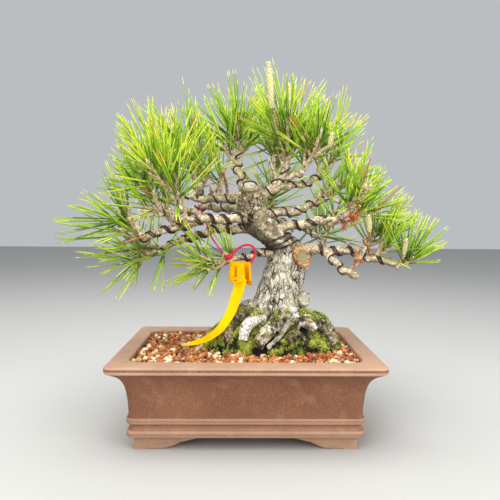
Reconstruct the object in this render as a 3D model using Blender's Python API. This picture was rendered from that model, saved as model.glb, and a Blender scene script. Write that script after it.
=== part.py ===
"""Japanese black pine bonsai in its unglazed rectangular pot.

Metres, +Z up. X runs to the right of the front view, the front faces -Y, and the origin lies on the
ground under the middle of the pot. Tables are in millimetres and are scaled by MM where they are read.
The trunk leans right, bends hard to the left and ends in a flat cut. Wired boughs carry the masses of
needles, each of which grows from one stem by the same seeded rule.
"""

import math
import random

import bmesh
import bpy
import numpy as np
from mathutils import Matrix, Vector

MM = 0.001
CLEAR = 0.3
ROOT_CLEAR = 0.45
SPACE_BEYOND = 3.0
GOLDEN_ANGLE = math.radians(137.5)
WELD_DISTANCE = 0.00001
MICRON_DIGITS = 6
SOFT_ANGLE = 50.0
POT_SOFT_ANGLE = 35.0

# Pot: half sizes of its lip, then the height of each moulding and how far it is set in from the lip
POT_HALF = (127.0, 94.0)
POT_TOP = 82.0
POT_FLOOR = 20.0
POT_CORNER = 7.0
POT_OUTER = (
    (12.0, 19.0), (13.5, 17.0), (18.0, 16.8), (19.5, 18.6), (22.0, 19.4), (24.5, 18.6), (26.0, 16.8),
    (30.5, 16.8), (32.0, 18.2), (45.0, 17.6), (58.0, 15.6), (66.0, 12.4), (71.0, 8.0), (74.5, 2.6),
    (75.6, 0.8), (77.0, 0.0), (81.0, 0.0),
)
POT_LIP_ROUND = 1.0
POT_INNER = (
    (82.0, 110.0, 72.0), (78.0, 109.0, 71.2), (66.0, 106.0, 70.0), (45.0, 102.0, 68.0), (20.0, 100.0, 66.0),
)
POT_INNER_CORNER = 14.0
CORNER_STEPS = 3
FOOT_INSET = 23.0
FOOT_FLAT = 24.0
FOOT_LENGTH = 60.0
FOOT_THICK = 13.0
FOOT_SUNK = 16.0
OGEE_STEPS = 7
OGEE_BEND = 0.11
OGEE_RISE = 11.0

# Soil, and each cushion of moss on it: middle, half sizes and rise
SOIL_TOP = 78.0
SOIL_CLEAR = 0.45
MOSS_FACETS = (14, 8)
MOSS_PADS = {
    "moss_front_left": ((-24.0, -34.0), (23.0, 17.0), 13.0),
    "moss_front_middle": ((27.0, -46.0), (25.0, 11.0), 13.0),
    "moss_front_right": ((78.0, -32.0), (23.0, 17.0), 16.0),
    "moss_back": ((28.0, 45.0), (42.0, 14.0), 15.0),
}

# Trunk: height, left edge and right edge in the front view, and half depth
TRUNK = (
    (78.3, -43.0, 97.0, 45.0), (86.0, -40.0, 94.0, 43.0), (96.0, -34.0, 89.0, 39.0),
    (105.0, -24.0, 82.0, 34.0), (112.0, -10.0, 70.0, 29.0), (120.0, 3.0, 57.0, 25.0),
    (130.0, 8.5, 54.5, 23.0), (142.0, 13.0, 57.0, 22.0),
    (160.0, 19.0, 63.0, 21.5), (174.0, 23.5, 68.0, 21.5), (184.0, 22.0, 65.0, 20.5),
    (192.0, 13.0, 52.0, 19.5), (202.0, 1.0, 39.0, 18.0), (213.0, -9.0, 27.0, 17.0),
    (226.0, -9.0, 21.0, 15.5), (240.0, -8.5, 19.0, 14.0), (248.0, -7.0, 17.0, 12.5),
    (250.0, -2.0, 11.0, 7.0),
)
TRUNK_SIDES = 22
ROOT_LOBES = 7
ROOT_LOBE_DEPTH = 0.15
ROOT_TOP = 120.0
BARK_FLUTES = 5
BARK_FLUTE_DEPTH = 0.035
BARK_FLUTE_TWIST = 0.05
CUT_ROOT = ((60.0, -2.0, 131.0), (9.0, 8.0, 8.0))
CUT_ROOT_FACETS = (10, 7)

# Limbs: parent, start (a point in the trunk, or how far along the parent limb), tip, bow of its
# middle, radius at its root and at its tip
LIMBS = {
    "bough_left_long": ("trunk", (6, -6, 214), (-98, -30, 196), (4, -8, 7), 5.0, 3.0),
    "bough_left_low": ("trunk", (10, 0, 203), (-94, -14, 179), (4, 8, 10), 4.8, 2.8),
    "bough_left_upper": ("trunk", (4, 3, 240), (-54, 6, 252), (-16, 4, -11), 5.0, 3.0),
    "bough_left_outer": ("bough_left_upper", 0.55, (-77, -6, 250), (-6, -4, -4), 2.9, 2.2),
    "bough_left_rise": ("bough_left_long", 0.52, (-88, -48, 230), (-6, -6, -6), 2.9, 2.2),
    "bough_left_front": ("bough_left_rise", 0.45, (-64, -62, 230), (2, -3, -3), 2.5, 2.2),
    "bough_apex": ("trunk", (10, 0, 236), (41, 0, 275), (8, 0, -3), 6.0, 3.6),
    "bough_apex_left": ("trunk", (2, 5, 238), (-8, 9, 284), (-5, 2, 0), 4.6, 2.8),
    "bough_apex_twig": ("bough_apex", 0.62, (60, -10, 268), (4, -2, -3), 2.9, 2.3),
    "bough_apex_right": ("bough_apex", 0.40, (84, 12, 264), (4, 3, -4), 3.6, 2.4),
    "bough_right_upper": ("trunk", (12, 2, 220), (92, 4, 243), (2, 4, -8), 4.6, 2.8),
    "bough_right_main": ("trunk", (26, -5, 202), (103, -16, 214), (2, -7, 3), 4.8, 2.8),
    "bough_right_low": ("trunk", (50, -4, 183), (150, -18, 169), (2, -2, 5), 5.0, 2.8),
    "bough_right_rise": ("bough_right_low", 0.60, (124, 0, 187), (4, 4, -2), 2.8, 2.2),
    "bough_right_hook": ("bough_right_low", 0.30, (108, -22, 158), (-2, -5, -3), 3.2, 3.0),
    "bough_back_right": ("trunk", (14, 8, 208), (86, 70, 194), (-2, 12, 8), 4.4, 2.6),
    "bough_back_middle": ("trunk", (6, 6, 228), (30, 80, 230), (-4, 4, -5), 4.2, 2.6),
    "bough_back_left": ("trunk", (2, 6, 221), (-82, 68, 222), (4, 8, 6), 4.4, 2.6),
    "bough_back_top": ("bough_apex", 0.30, (30, 40, 282), (0, 8, -6), 3.4, 2.4),
    "bough_front_right": ("bough_right_main", 0.54, (88, -56, 216), (2, -6, -2), 2.9, 2.2),
    "bough_tag": ("trunk", (34, -6, 181), (-20, -12, 170), (2, 1, 2), 3.8, 2.6),
}
LIMB_POINTS = 10
LIMB_KINK = 1.7
LIMB_KINKS = 2.5

# Masses: limb that carries it, heart where its shoots fork, furthest tip, half angle of the fan
MASSES = {
    "needles_left_far": ("bough_left_long", (-111, -32, 212), (-186, -40, 222), 44),
    "needles_left_low": ("bough_left_low", (-104, -18, 180), (-162, -26, 160), 44),
    "needles_left_middle": ("bough_left_rise", (-94, -52, 238), (-132, -92, 276), 38),
    "needles_left_outer": ("bough_left_outer", (-87, -9, 255), (-136, -14, 320), 40),
    "needles_left_upper": ("bough_left_upper", (-54, 12, 268), (-74, 16, 354), 42),
    "needles_left_front": ("bough_left_front", (-72, -70, 240), (-88, -157, 280), 40),
    "needles_tag": ("bough_tag", (-29, -14, 170), (-86, -28, 154), 44),
    "needles_apex_left": ("bough_apex_left", (-12, 10, 296), (-10, 14, 364), 42),
    "needles_apex": ("bough_apex", (42, 0, 288), (18, -6, 377), 42),
    "needles_apex_right": ("bough_apex_twig", (66, -14, 276), (84, -26, 336), 38),
    "needles_right_upper": ("bough_apex_right", (90, 14, 278), (123, 18, 344), 42),
    "needles_right_top": ("bough_right_upper", (98, 2, 252), (152, 4, 276), 40),
    "needles_right_middle": ("bough_right_main", (110, -20, 219), (162, -34, 247), 40),
    "needles_right_low": ("bough_right_rise", (129, 2, 193), (198, 6, 225), 38),
    "needles_right_far": ("bough_right_low", (157, -19, 171), (206, -24, 194), 46),
    "needles_back_right": ("bough_back_right", (96, 80, 194), (146, 150, 206), 52),
    "needles_back_middle": ("bough_back_middle", (32, 90, 235), (42, 157, 268), 52),
    "needles_back_left": ("bough_back_left", (-92, 76, 226), (-204, 92, 242), 46),
    "needles_back_top": ("bough_back_top", (30, 48, 292), (36, 98, 352), 50),
    "needles_front_right": ("bough_front_right", (94, -64, 224), (114, -157, 252), 40),
}
CROWN_LOW = (-204.0, -157.0, 118.0)
CROWN_HIGH = (206.0, 157.0, 377.0)
CROWN_SLACK = 0.01
WINDOW_LOW = (-34.0, -400.0, 0.0)
WINDOW_HIGH = (70.0, -14.0, 232.0)
WINDOW_FREE = "needles_tag"
STEM_STRAIGHT = 4.0
STEM_SWELL = 0.5
STEM_MARGIN = 1.0
SHOOTS = 4
SHOOT_TRIES = 14
SHOOT_SHARE = 0.32
SHOOT_VARIES = (0.85, 1.10)
SHOOT_RISE = 0.22
SHOOT_SUNK = 0.8
SHOOT_APART = 9.0
SHOOT_FREE_FROM = 0.5
SHOOT_SIDES = 4
SHOOT_RADII = (2.9, 2.2)
NEEDLES = 6
NEEDLE_TRIES = 7
NEEDLE_SIDES = 3
NEEDLE_SHARE = 0.74
NEEDLE_VARIES = (0.86, 1.04)
NEEDLE_ROOT = 0.95
NEEDLE_BED = (0.22, 0.94)
NEEDLE_LEAN = (78.0, 22.0)
LEAN_VARIES = (0.85, 1.10)
RETRY_TURN = 0.4
LEADER_SUNK = 2.0
BARE_SHARE = 0.4
FREE_FROM = 0.10
NEEDLE_APART = 2.3
SPACE_CLEAR = 1.6
LIMB_CLEAR = 4.6
OWN_LIMB_CLEAR = 1.6
SAMPLES = 15

# Candles, the pale new shoots: mass that carries each, its foot, its tip and its widest radius
CANDLE_STALK = 1.6
CANDLE_ENDS = (1.2, 0.7)
CANDLE_WIDEST = 0.4
CANDLE_OVERLAP = 0.95
CANDLE_SIDES = 6
CANDLES = {
    "needles_apex": ((30, -2, 322), (23, -4, 366), 2.9),
    "needles_apex_right": ((68, -14, 292), (72, -14, 316), 2.4),
    "needles_right_middle": ((112, -22, 226), (115, -24, 244), 2.2),
}

# Wires wound round the limbs: limb, share of it where the wire starts and ends, and its turns
WIRES = {
    "wire_left_long_inner": ("bough_left_long", 0.22, 0.46, 2.5),
    "wire_left_long_outer": ("bough_left_long", 0.72, 0.94, 2.0),
    "wire_left_low": ("bough_left_low", 0.24, 0.92, 6.0),
    "wire_right_main": ("bough_right_main", 0.66, 0.92, 2.0),
    "wire_right_upper": ("bough_right_upper", 0.28, 0.90, 4.0),
    "wire_right_low_inner": ("bough_right_low", 0.37, 0.54, 1.5),
    "wire_right_low_outer": ("bough_right_low", 0.68, 0.92, 2.0),
}
WIRE_RADIUS = 1.3
WIRE_CLEAR = 0.7
WIRE_POINTS_PER_TURN = 6
WIRE_ROUNDNESS = 0
TRUNK_WIRE = (186.0, 200.0, 222.0, 470.0)
TRUNK_WIRE_CLEAR = 2.4
TRUNK_WIRE_POINTS = 16

# Label: a strip folded over the foot of its tie, a hoop that hangs on the low left limb
TIE_CENTRE = (-8.0, -11.8, 180.2)
TIE_HALF = (12.5, 14.5)
TIE_LEAN = 40.0
TIE_SQUARE = 0.60
TIE_RADIUS = 1.1
TIE_POINTS = 18
LABEL_THICK = 0.9
FOLD_RADIUS = 4.3
FOLD_STEPS = 6
FOLD_WIDTH = 16.0
FOLD_BACK = (11.0, 12.0)
LABEL_TAIL = (
    ((-7, -27, 160), 19), ((-7, -28, 149), 14), ((-11, -30, 135), 13), ((-15, -34, 124), 12),
    ((-22, -38, 114), 11.5), ((-32, -40, 105), 10.5), ((-45, -38, 96), 8.5), ((-62, -32, 88), 2.0),
)

COLOURS = {
    "clay": ((0.262, 0.130, 0.098, 1.0), 0.78),
    "grit": ((0.300, 0.095, 0.040, 1.0), 0.92),
    "moss": ((0.110, 0.160, 0.025, 1.0), 0.95),
    "bark": ((0.330, 0.290, 0.230, 1.0), 0.90),
    "cut_wood": ((0.620, 0.560, 0.440, 1.0), 0.75),
    "bough_bark": ((0.350, 0.240, 0.150, 1.0), 0.88),
    "needle": ((0.165, 0.330, 0.035, 1.0), 0.50),
    "wire": ((0.075, 0.050, 0.038, 1.0), 0.42),
    "label": ((0.850, 0.520, 0.015, 1.0), 0.45),
    "tie": ((0.560, 0.020, 0.050, 1.0), 0.50),
}


def remove_scene_objects():
    for item in list(bpy.data.objects):
        bpy.data.objects.remove(item, do_unlink=True)


def make_collection(name):
    group = bpy.data.collections.new(name)
    bpy.context.scene.collection.children.link(group)
    return group


def make_material(name):
    colour, roughness = COLOURS[name]
    material = bpy.data.materials.new(name)
    material.use_nodes = True
    shader = material.node_tree.nodes["Principled BSDF"]
    shader.inputs["Base Color"].default_value = colour
    shader.inputs["Roughness"].default_value = roughness
    shader.inputs["Metallic"].default_value = 0.0
    return material


def metres(values):
    return Vector(values) * MM


def object_from_bmesh(name, shape, group, material=None):
    bmesh.ops.recalc_face_normals(shape, faces=shape.faces[:])
    mesh = bpy.data.meshes.new(name)
    shape.to_mesh(mesh)
    shape.free()
    if material:
        mesh.materials.append(material)
    item = bpy.data.objects.new(name, mesh)
    group.objects.link(item)
    return item


def loft(name, rings, group, material=None):
    """Closed solid through rings of equally many points, with a cap on the first and the last.

    Every side is split along the same diagonal, so two lofts a clearance apart have parallel facets."""
    shape = bmesh.new()
    levels = [[shape.verts.new(point) for point in ring] for ring in rings]
    count = len(rings[0])
    for lower, upper in zip(levels, levels[1:]):
        for i in range(count):
            j = (i + 1) % count
            shape.faces.new((lower[i], lower[j], upper[j]))
            shape.faces.new((lower[i], upper[j], upper[i]))
    shape.faces.new(levels[0][::-1])
    shape.faces.new(levels[-1])
    return object_from_bmesh(name, shape, group, material)


def as_cutter(item):
    item.hide_render = True
    item.display_type = "WIRE"
    return item


def apply_modifiers(item):
    graph = bpy.context.evaluated_depsgraph_get()
    mesh = bpy.data.meshes.new_from_object(item.evaluated_get(graph))
    item.modifiers.clear()
    item.data = mesh


def combine(item, operation, tool=None, group=None, solver="EXACT"):
    """Apply one Boolean of a tool object, or of all the objects in a collection."""
    boolean = item.modifiers.new(operation.lower(), "BOOLEAN")
    boolean.operation = operation
    boolean.solver = solver
    if group:
        boolean.operand_type = "COLLECTION"
        boolean.collection = group
    else:
        boolean.object = tool
    apply_modifiers(item)


def keep_largest_shell(item):
    """Fill sealed hollows and drop loose scraps: only the shell with the widest reach stays."""
    shape = bmesh.new()
    shape.from_mesh(item.data)
    unseen = set(shape.verts)
    shells = []
    while unseen:
        stack = [unseen.pop()]
        shell = set(stack)
        while stack:
            for edge in stack.pop().link_edges:
                for vert in edge.verts:
                    if vert in unseen:
                        unseen.discard(vert)
                        shell.add(vert)
                        stack.append(vert)
        shells.append(shell)
    shells.sort(key=span_of, reverse=True)
    for scrap in shells[1:]:
        bmesh.ops.delete(shape, geom=list(scrap), context="VERTS")
    bmesh.ops.triangulate(shape, faces=shape.faces[:])
    shape.to_mesh(item.data)
    shape.free()


def span_of(shell):
    places = np.array([vert.co[:] for vert in shell])
    return float(np.prod(places.max(axis=0) - places.min(axis=0) + MM))


def smooth_round(item, angle=SOFT_ANGLE):
    item.data.shade_smooth()
    item.data.set_sharp_from_angle(angle=math.radians(angle))


def rounded_rectangle(half_x, half_y, corner, height):
    """Points of a rectangle with round corners, anticlockwise from the right front corner."""
    points = []
    for quarter, (sign_x, sign_y) in enumerate(((1, -1), (1, 1), (-1, 1), (-1, -1))):
        for step in range(CORNER_STEPS + 1):
            angle = math.radians(90.0 * (quarter - 1 + step / CORNER_STEPS))
            x = sign_x * (half_x - corner) + corner * math.cos(angle)
            y = sign_y * (half_y - corner) + corner * math.sin(angle)
            points.append(metres((x, y, height)))
    return points


def pot_rings():
    rings = []
    for height, inset in POT_OUTER:
        rings.append(rounded_rectangle(POT_HALF[0] - inset, POT_HALF[1] - inset, POT_CORNER, height))
    inset = POT_LIP_ROUND
    rings.append(rounded_rectangle(POT_HALF[0] - inset, POT_HALF[1] - inset, POT_CORNER, POT_TOP))
    for height, half_x, half_y in POT_INNER:
        rings.append(rounded_rectangle(half_x, half_y, POT_INNER_CORNER, height))
    return rings


def foot_outline():
    """Half of an apron: a flat foot, then an ogee that rises to the base of the pot."""
    points = [(0.0, FOOT_SUNK), (0.0, 0.0), (FOOT_FLAT, 0.0)]
    run = FOOT_LENGTH - FOOT_FLAT
    for step in range(1, OGEE_STEPS + 1):
        share = step / OGEE_STEPS
        rise = share - math.sin(2.0 * math.pi * share) * OGEE_BEND
        points.append((FOOT_FLAT + run * share, OGEE_RISE * rise))
    points.append((FOOT_LENGTH, FOOT_SUNK))
    return points


def foot_slab(name, along_x, sign_x, sign_y, group):
    """One apron of a corner foot, made from its outline as a filled curve of some thickness."""
    curve = bpy.data.curves.new(name, "CURVE")
    curve.dimensions = "2D"
    curve.fill_mode = "BOTH"
    curve.extrude = FOOT_THICK * MM / 2.0
    outline = foot_outline()
    spline = curve.splines.new("POLY")
    spline.points.add(len(outline) - 1)
    for point, (run, rise) in zip(spline.points, outline):
        point.co = (run * MM, rise * MM, 0.0, 1.0)
    spline.use_cyclic_u = True
    item = bpy.data.objects.new(name, curve)
    group.objects.link(item)
    corner_x = sign_x * (POT_HALF[0] - FOOT_INSET)
    corner_y = sign_y * (POT_HALF[1] - FOOT_INSET)
    half_thick = FOOT_THICK / 2.0
    if along_x:
        basis = Matrix(((-sign_x, 0, 0), (0, 0, -sign_y), (0, 1, 0))).to_4x4()
        place = metres((corner_x, corner_y - sign_y * half_thick, 0.0))
    else:
        basis = Matrix(((0, 0, -sign_x), (-sign_y, 0, 0), (0, 1, 0))).to_4x4()
        place = metres((corner_x - sign_x * half_thick, corner_y, 0.0))
    item.matrix_world = Matrix.Translation(place) @ basis
    return mesh_from_curve(item, group)


def mesh_from_curve(item, group, material=None):
    """Turn a curve into a welded mesh with its place written into the mesh."""
    bpy.context.view_layer.update()
    graph = bpy.context.evaluated_depsgraph_get()
    mesh = bpy.data.meshes.new_from_object(item.evaluated_get(graph))
    shape = bmesh.new()
    shape.from_mesh(mesh)
    shape.transform(item.matrix_world)
    bmesh.ops.remove_doubles(shape, verts=shape.verts[:], dist=WELD_DISTANCE)
    snap_to_microns(shape)
    name = item.name
    bpy.data.meshes.remove(mesh)
    bpy.data.objects.remove(item, do_unlink=True)
    return object_from_bmesh(name, shape, group, material)


def snap_to_microns(shape):
    """Put every point on a grid of a thousandth of a millimetre, so that flush faces are truly flush."""
    for vert in shape.verts:
        vert.co = [round(value, MICRON_DIGITS) for value in vert.co]


def make_pot(group, scrap):
    pot = loft("pot", pot_rings(), group, make_material("clay"))
    for sign_x in (-1, 1):
        for sign_y in (-1, 1):
            for along_x in (True, False):
                slab = foot_slab("foot_slab", along_x, sign_x, sign_y, scrap)
                combine(pot, "UNION", tool=slab)
                bpy.data.objects.remove(slab, do_unlink=True)
    smooth_round(pot, POT_SOFT_ANGLE)
    return pot


def pot_inside(height):
    """Half sizes of the pot's inside at a height."""
    for (top, top_x, top_y), (low, low_x, low_y) in zip(POT_INNER, POT_INNER[1:]):
        if height >= low:
            share = (height - low) / (top - low)
            return low_x + (top_x - low_x) * share, low_y + (top_y - low_y) * share
    return POT_INNER[-1][1:]


def make_soil(group):
    rings = []
    between = [row[0] for row in POT_INNER[::-1] if POT_FLOOR < row[0] < SOIL_TOP]
    heights = [POT_FLOOR + CLEAR, *between, SOIL_TOP]
    for height in heights:
        half_x, half_y = pot_inside(height)
        rings.append(rounded_rectangle(half_x - SOIL_CLEAR, half_y - SOIL_CLEAR, POT_INNER_CORNER, height))
    return loft("soil", rings, group, make_material("grit"))


def trunk_row(height):
    """Left edge, right edge and half depth of the trunk at a height."""
    for low, high in zip(TRUNK, TRUNK[1:]):
        if height <= high[0]:
            share = max(0.0, (height - low[0]) / (high[0] - low[0]))
            return [a + (b - a) * share for a, b in zip(low[1:], high[1:])]
    return TRUNK[-1][1:]


def trunk_point(height, angle, grow=0.0):
    """Point on the trunk's surface, in millimetres, grown outwards by a clearance."""
    left, right, depth = trunk_row(height)
    root_share = max(0.0, (ROOT_TOP - height) / (ROOT_TOP - TRUNK[0][0]))
    lobe = ROOT_LOBE_DEPTH * root_share * math.cos(ROOT_LOBES * angle)
    flute_turn = BARK_FLUTES * angle + height * BARK_FLUTE_TWIST
    flute = BARK_FLUTE_DEPTH * (1.0 - root_share) * math.cos(flute_turn)
    swell = 1.0 + lobe + flute
    x = (left + right) / 2.0 + ((right - left) / 2.0 * swell + grow) * math.cos(angle)
    y = (depth * swell + grow) * math.sin(angle)
    return Vector((x, y, height))


def trunk_ring(height, grow, shift=0.0):
    ring = []
    for side in range(TRUNK_SIDES):
        point = trunk_point(height, 2.0 * math.pi * side / TRUNK_SIDES, grow)
        ring.append(metres((point.x, point.y, height + shift)))
    return ring


def trunk_rings(grow=0.0):
    return [trunk_ring(row[0], grow) for row in TRUNK]


def trunk_space_rings():
    """The room that the trunk takes up with its clearance, carried on past its two flat cuts."""
    below = trunk_ring(TRUNK[0][0], ROOT_CLEAR, -SPACE_BEYOND)
    above = trunk_ring(TRUNK[-1][0], ROOT_CLEAR, SPACE_BEYOND)
    return [below, *trunk_rings(ROOT_CLEAR), above]


def make_trunk(group):
    trunk = loft("trunk", trunk_rings(), group, make_material("bark"))
    smooth_round(trunk)
    return trunk


def make_cut_root(group, trunk_space):
    """Round sawn-off root that stands proud of the trunk's foot."""
    place, radii = CUT_ROOT
    shape = bmesh.new()
    bmesh.ops.create_uvsphere(shape, u_segments=CUT_ROOT_FACETS[0], v_segments=CUT_ROOT_FACETS[1], radius=MM)
    bmesh.ops.transform(shape, matrix=Matrix.Diagonal((*radii, 1.0)), verts=shape.verts[:])
    bmesh.ops.translate(shape, vec=metres(place), verts=shape.verts[:])
    knob = object_from_bmesh("cut_root", shape, group, make_material("cut_wood"))
    combine(knob, "DIFFERENCE", tool=trunk_space)
    keep_largest_shell(knob)
    smooth_round(knob)
    return knob


def make_moss(name, group, trunk_space, material):
    """Low cushion of moss, flat where it lies on the soil and cut clear of the roots."""
    (x, y), (radius_x, radius_y), rise = MOSS_PADS[name]
    floor = SOIL_TOP + CLEAR
    shape = bmesh.new()
    bmesh.ops.create_uvsphere(shape, u_segments=MOSS_FACETS[0], v_segments=MOSS_FACETS[1], radius=MM)
    bmesh.ops.transform(shape, matrix=Matrix.Diagonal((radius_x, radius_y, rise, 1.0)), verts=shape.verts[:])
    bmesh.ops.translate(shape, vec=metres((x, y, floor)), verts=shape.verts[:])
    everything = shape.verts[:] + shape.edges[:] + shape.faces[:]
    plane = metres((0.0, 0.0, floor))
    bmesh.ops.bisect_plane(shape, geom=everything, plane_co=plane, plane_no=(0, 0, 1), clear_inner=True)
    rim = [edge for edge in shape.edges if edge.is_boundary]
    bmesh.ops.contextual_create(shape, geom=rim)
    pad = object_from_bmesh(name, shape, group, material)
    combine(pad, "DIFFERENCE", tool=trunk_space)
    keep_largest_shell(pad)
    smooth_round(pad)
    return pad


def limb_paths():
    """Centre line and radii of every limb, in millimetres, worked out from the table."""
    paths = {}
    for name, (parent, start, tip, bow, root_radius, tip_radius) in LIMBS.items():
        if parent == "trunk":
            begin = Vector(start)
        else:
            begin = point_along(paths[parent][0], start)
        end = Vector(tip)
        line = (end - begin).normalized()
        side = line.cross(Vector((0, 0, 1))).normalized()
        lift = side.cross(line)
        phase = len(paths)
        points = []
        radii = []
        for step in range(LIMB_POINTS):
            share = step / (LIMB_POINTS - 1)
            arch = math.sin(math.pi * share)
            turn = 2.0 * math.pi * LIMB_KINKS * share + phase
            kink = (side * math.cos(turn) + lift * math.sin(turn)) * (LIMB_KINK * arch)
            points.append(begin.lerp(end, share) + Vector(bow) * arch + kink)
            radii.append(root_radius + (tip_radius - root_radius) * share)
        paths[name] = (points, radii)
    return paths


def point_along(points, share):
    place = share * (len(points) - 1)
    index = min(int(place), len(points) - 2)
    return points[index].lerp(points[index + 1], place - index)


def tube(name, points, radii, group, material=None, resolution=1, closed=False):
    """Round bar along a line of points, in millimetres, as a curve made into a closed mesh."""
    curve = bpy.data.curves.new(name, "CURVE")
    curve.dimensions = "3D"
    curve.bevel_depth = MM
    curve.bevel_resolution = resolution
    curve.use_fill_caps = not closed
    spline = curve.splines.new("POLY")
    spline.points.add(len(points) - 1)
    for knot, point, radius in zip(spline.points, points, radii):
        knot.co = (*(point * MM), 1.0)
        knot.radius = radius
    spline.use_cyclic_u = closed
    item = bpy.data.objects.new(name, curve)
    group.objects.link(item)
    return mesh_from_curve(item, group, material)


def make_limb(name, paths, group, scrap, trunk_space, material):
    """Tapering limb whose root is cut clear of what it grows from."""
    points, radii = paths[name]
    limb = tube(name, points, radii, group, material)
    parent = LIMBS[name][0]
    if parent == "trunk":
        combine(limb, "DIFFERENCE", tool=trunk_space)
    else:
        parent_points, parent_radii = paths[parent]
        grown = [radius + ROOT_CLEAR for radius in parent_radii]
        space = tube("limb_space", parent_points, grown, scrap)
        combine(limb, "DIFFERENCE", tool=space)
        bpy.data.objects.remove(space, do_unlink=True)
    keep_largest_shell(limb)
    smooth_round(limb)
    return limb


def frames_along(points):
    """Direction, side and lift at each point of a line, carried along without twist."""
    frames = []
    side = Vector((0, 0, 1)).cross(points[1] - points[0]).normalized()
    for index, point in enumerate(points):
        ahead = points[min(index + 1, len(points) - 1)]
        behind = points[max(index - 1, 0)]
        line = (ahead - behind).normalized()
        side = (side - line * side.dot(line)).normalized()
        frames.append((point, side, line.cross(side)))
    return frames


def make_limb_wire(name, paths, group, material):
    """Training wire wound round a limb, just clear of its bark."""
    limb, start, end, turns = WIRES[name]
    points, radii = paths[limb]
    frames = frames_along(points)
    count = int(turns * WIRE_POINTS_PER_TURN)
    coil = []
    for step in range(count + 1):
        share = start + (end - start) * step / count
        place = share * (len(points) - 1)
        index = min(int(place), len(points) - 2)
        blend = place - index
        centre = frames[index][0].lerp(frames[index + 1][0], blend)
        side = frames[index][1].lerp(frames[index + 1][1], blend).normalized()
        lift = frames[index][2].lerp(frames[index + 1][2], blend).normalized()
        radius = radii[index] + (radii[index + 1] - radii[index]) * blend + WIRE_RADIUS + WIRE_CLEAR
        angle = 2.0 * math.pi * turns * step / count
        coil.append(centre + (side * math.cos(angle) + lift * math.sin(angle)) * radius)
    wire = tube(name, coil, [WIRE_RADIUS] * len(coil), group, material, WIRE_ROUNDNESS)
    smooth_round(wire)
    return wire


def make_trunk_wire(group, material):
    low, high, first, last = TRUNK_WIRE
    points = []
    for step in range(TRUNK_WIRE_POINTS):
        share = step / (TRUNK_WIRE_POINTS - 1)
        angle = math.radians(first + (last - first) * share)
        grow = WIRE_RADIUS + TRUNK_WIRE_CLEAR
        points.append(trunk_point(low + (high - low) * share, angle, grow))
    wire = tube("wire_trunk", points, [WIRE_RADIUS] * len(points), group, material, WIRE_ROUNDNESS)
    smooth_round(wire)
    return wire


def spike(name, start, end, start_radius, end_radius, sides, group):
    """Straight tapering bar between two points, in millimetres."""
    line = end - start
    shape = bmesh.new()
    bmesh.ops.create_cone(
        shape, cap_ends=True, cap_tris=False, segments=sides,
        radius1=start_radius * MM, radius2=end_radius * MM, depth=line.length * MM,
    )
    if end_radius == 0.0:
        bmesh.ops.remove_doubles(shape, verts=shape.verts[:], dist=WELD_DISTANCE)
    turn = line.to_track_quat("Z", "Y").to_matrix().to_4x4()
    place = Matrix.Translation(start.lerp(end, 0.5) * MM) @ turn
    bmesh.ops.transform(shape, matrix=place, verts=shape.verts[:])
    return object_from_bmesh(name, shape, group)


def leaning(axis, lean, turn):
    """Direction that leans away from an axis by one angle, turned round it by another."""
    side = axis.orthogonal().normalized()
    other = axis.cross(side)
    outward = side * math.cos(turn) + other * math.sin(turn)
    return (axis * math.cos(lean) + outward * math.sin(lean)).normalized()


def segment_gaps(start, end, lows, highs):
    """Least distance from one line segment to each of many, by sampling the first."""
    samples = np.linspace(0.0, 1.0, SAMPLES)[:, None] * (end - start)[None, :] + start[None, :]
    spans = highs - lows
    lengths = (spans * spans).sum(axis=1)
    offsets = samples[:, None, :] - lows[None, :, :]
    shares = np.clip((offsets * spans[None]).sum(axis=2) / lengths[None], 0.0, 1.0)
    gaps = np.linalg.norm(offsets - shares[..., None] * spans[None], axis=2)
    return gaps.min(axis=0)


def solid_segments(paths):
    """Every stretch of trunk, limb and stem that needles keep away from."""
    lows = []
    highs = []
    radii = []
    owners = []
    for row, after in zip(TRUNK, TRUNK[1:]):
        lows.append(((row[1] + row[2]) / 2.0, 0.0, row[0]))
        highs.append(((after[1] + after[2]) / 2.0, 0.0, after[0]))
        radii.append((row[2] - row[1]) / 2.0)
        owners.append("trunk")
    for name, (points, widths) in paths.items():
        for index in range(len(points) - 1):
            lows.append(points[index][:])
            highs.append(points[index + 1][:])
            radii.append(widths[index])
            owners.append(name)
    for name in MASSES:
        lows.append(paths[MASSES[name][0]][0][-1][:])
        highs.append(heart_of(name)[:])
        radii.append(SHOOT_RADII[0] + STEM_MARGIN)
        owners.append(name)
    return np.array(lows), np.array(highs), np.array(radii), np.array(owners)


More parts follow.
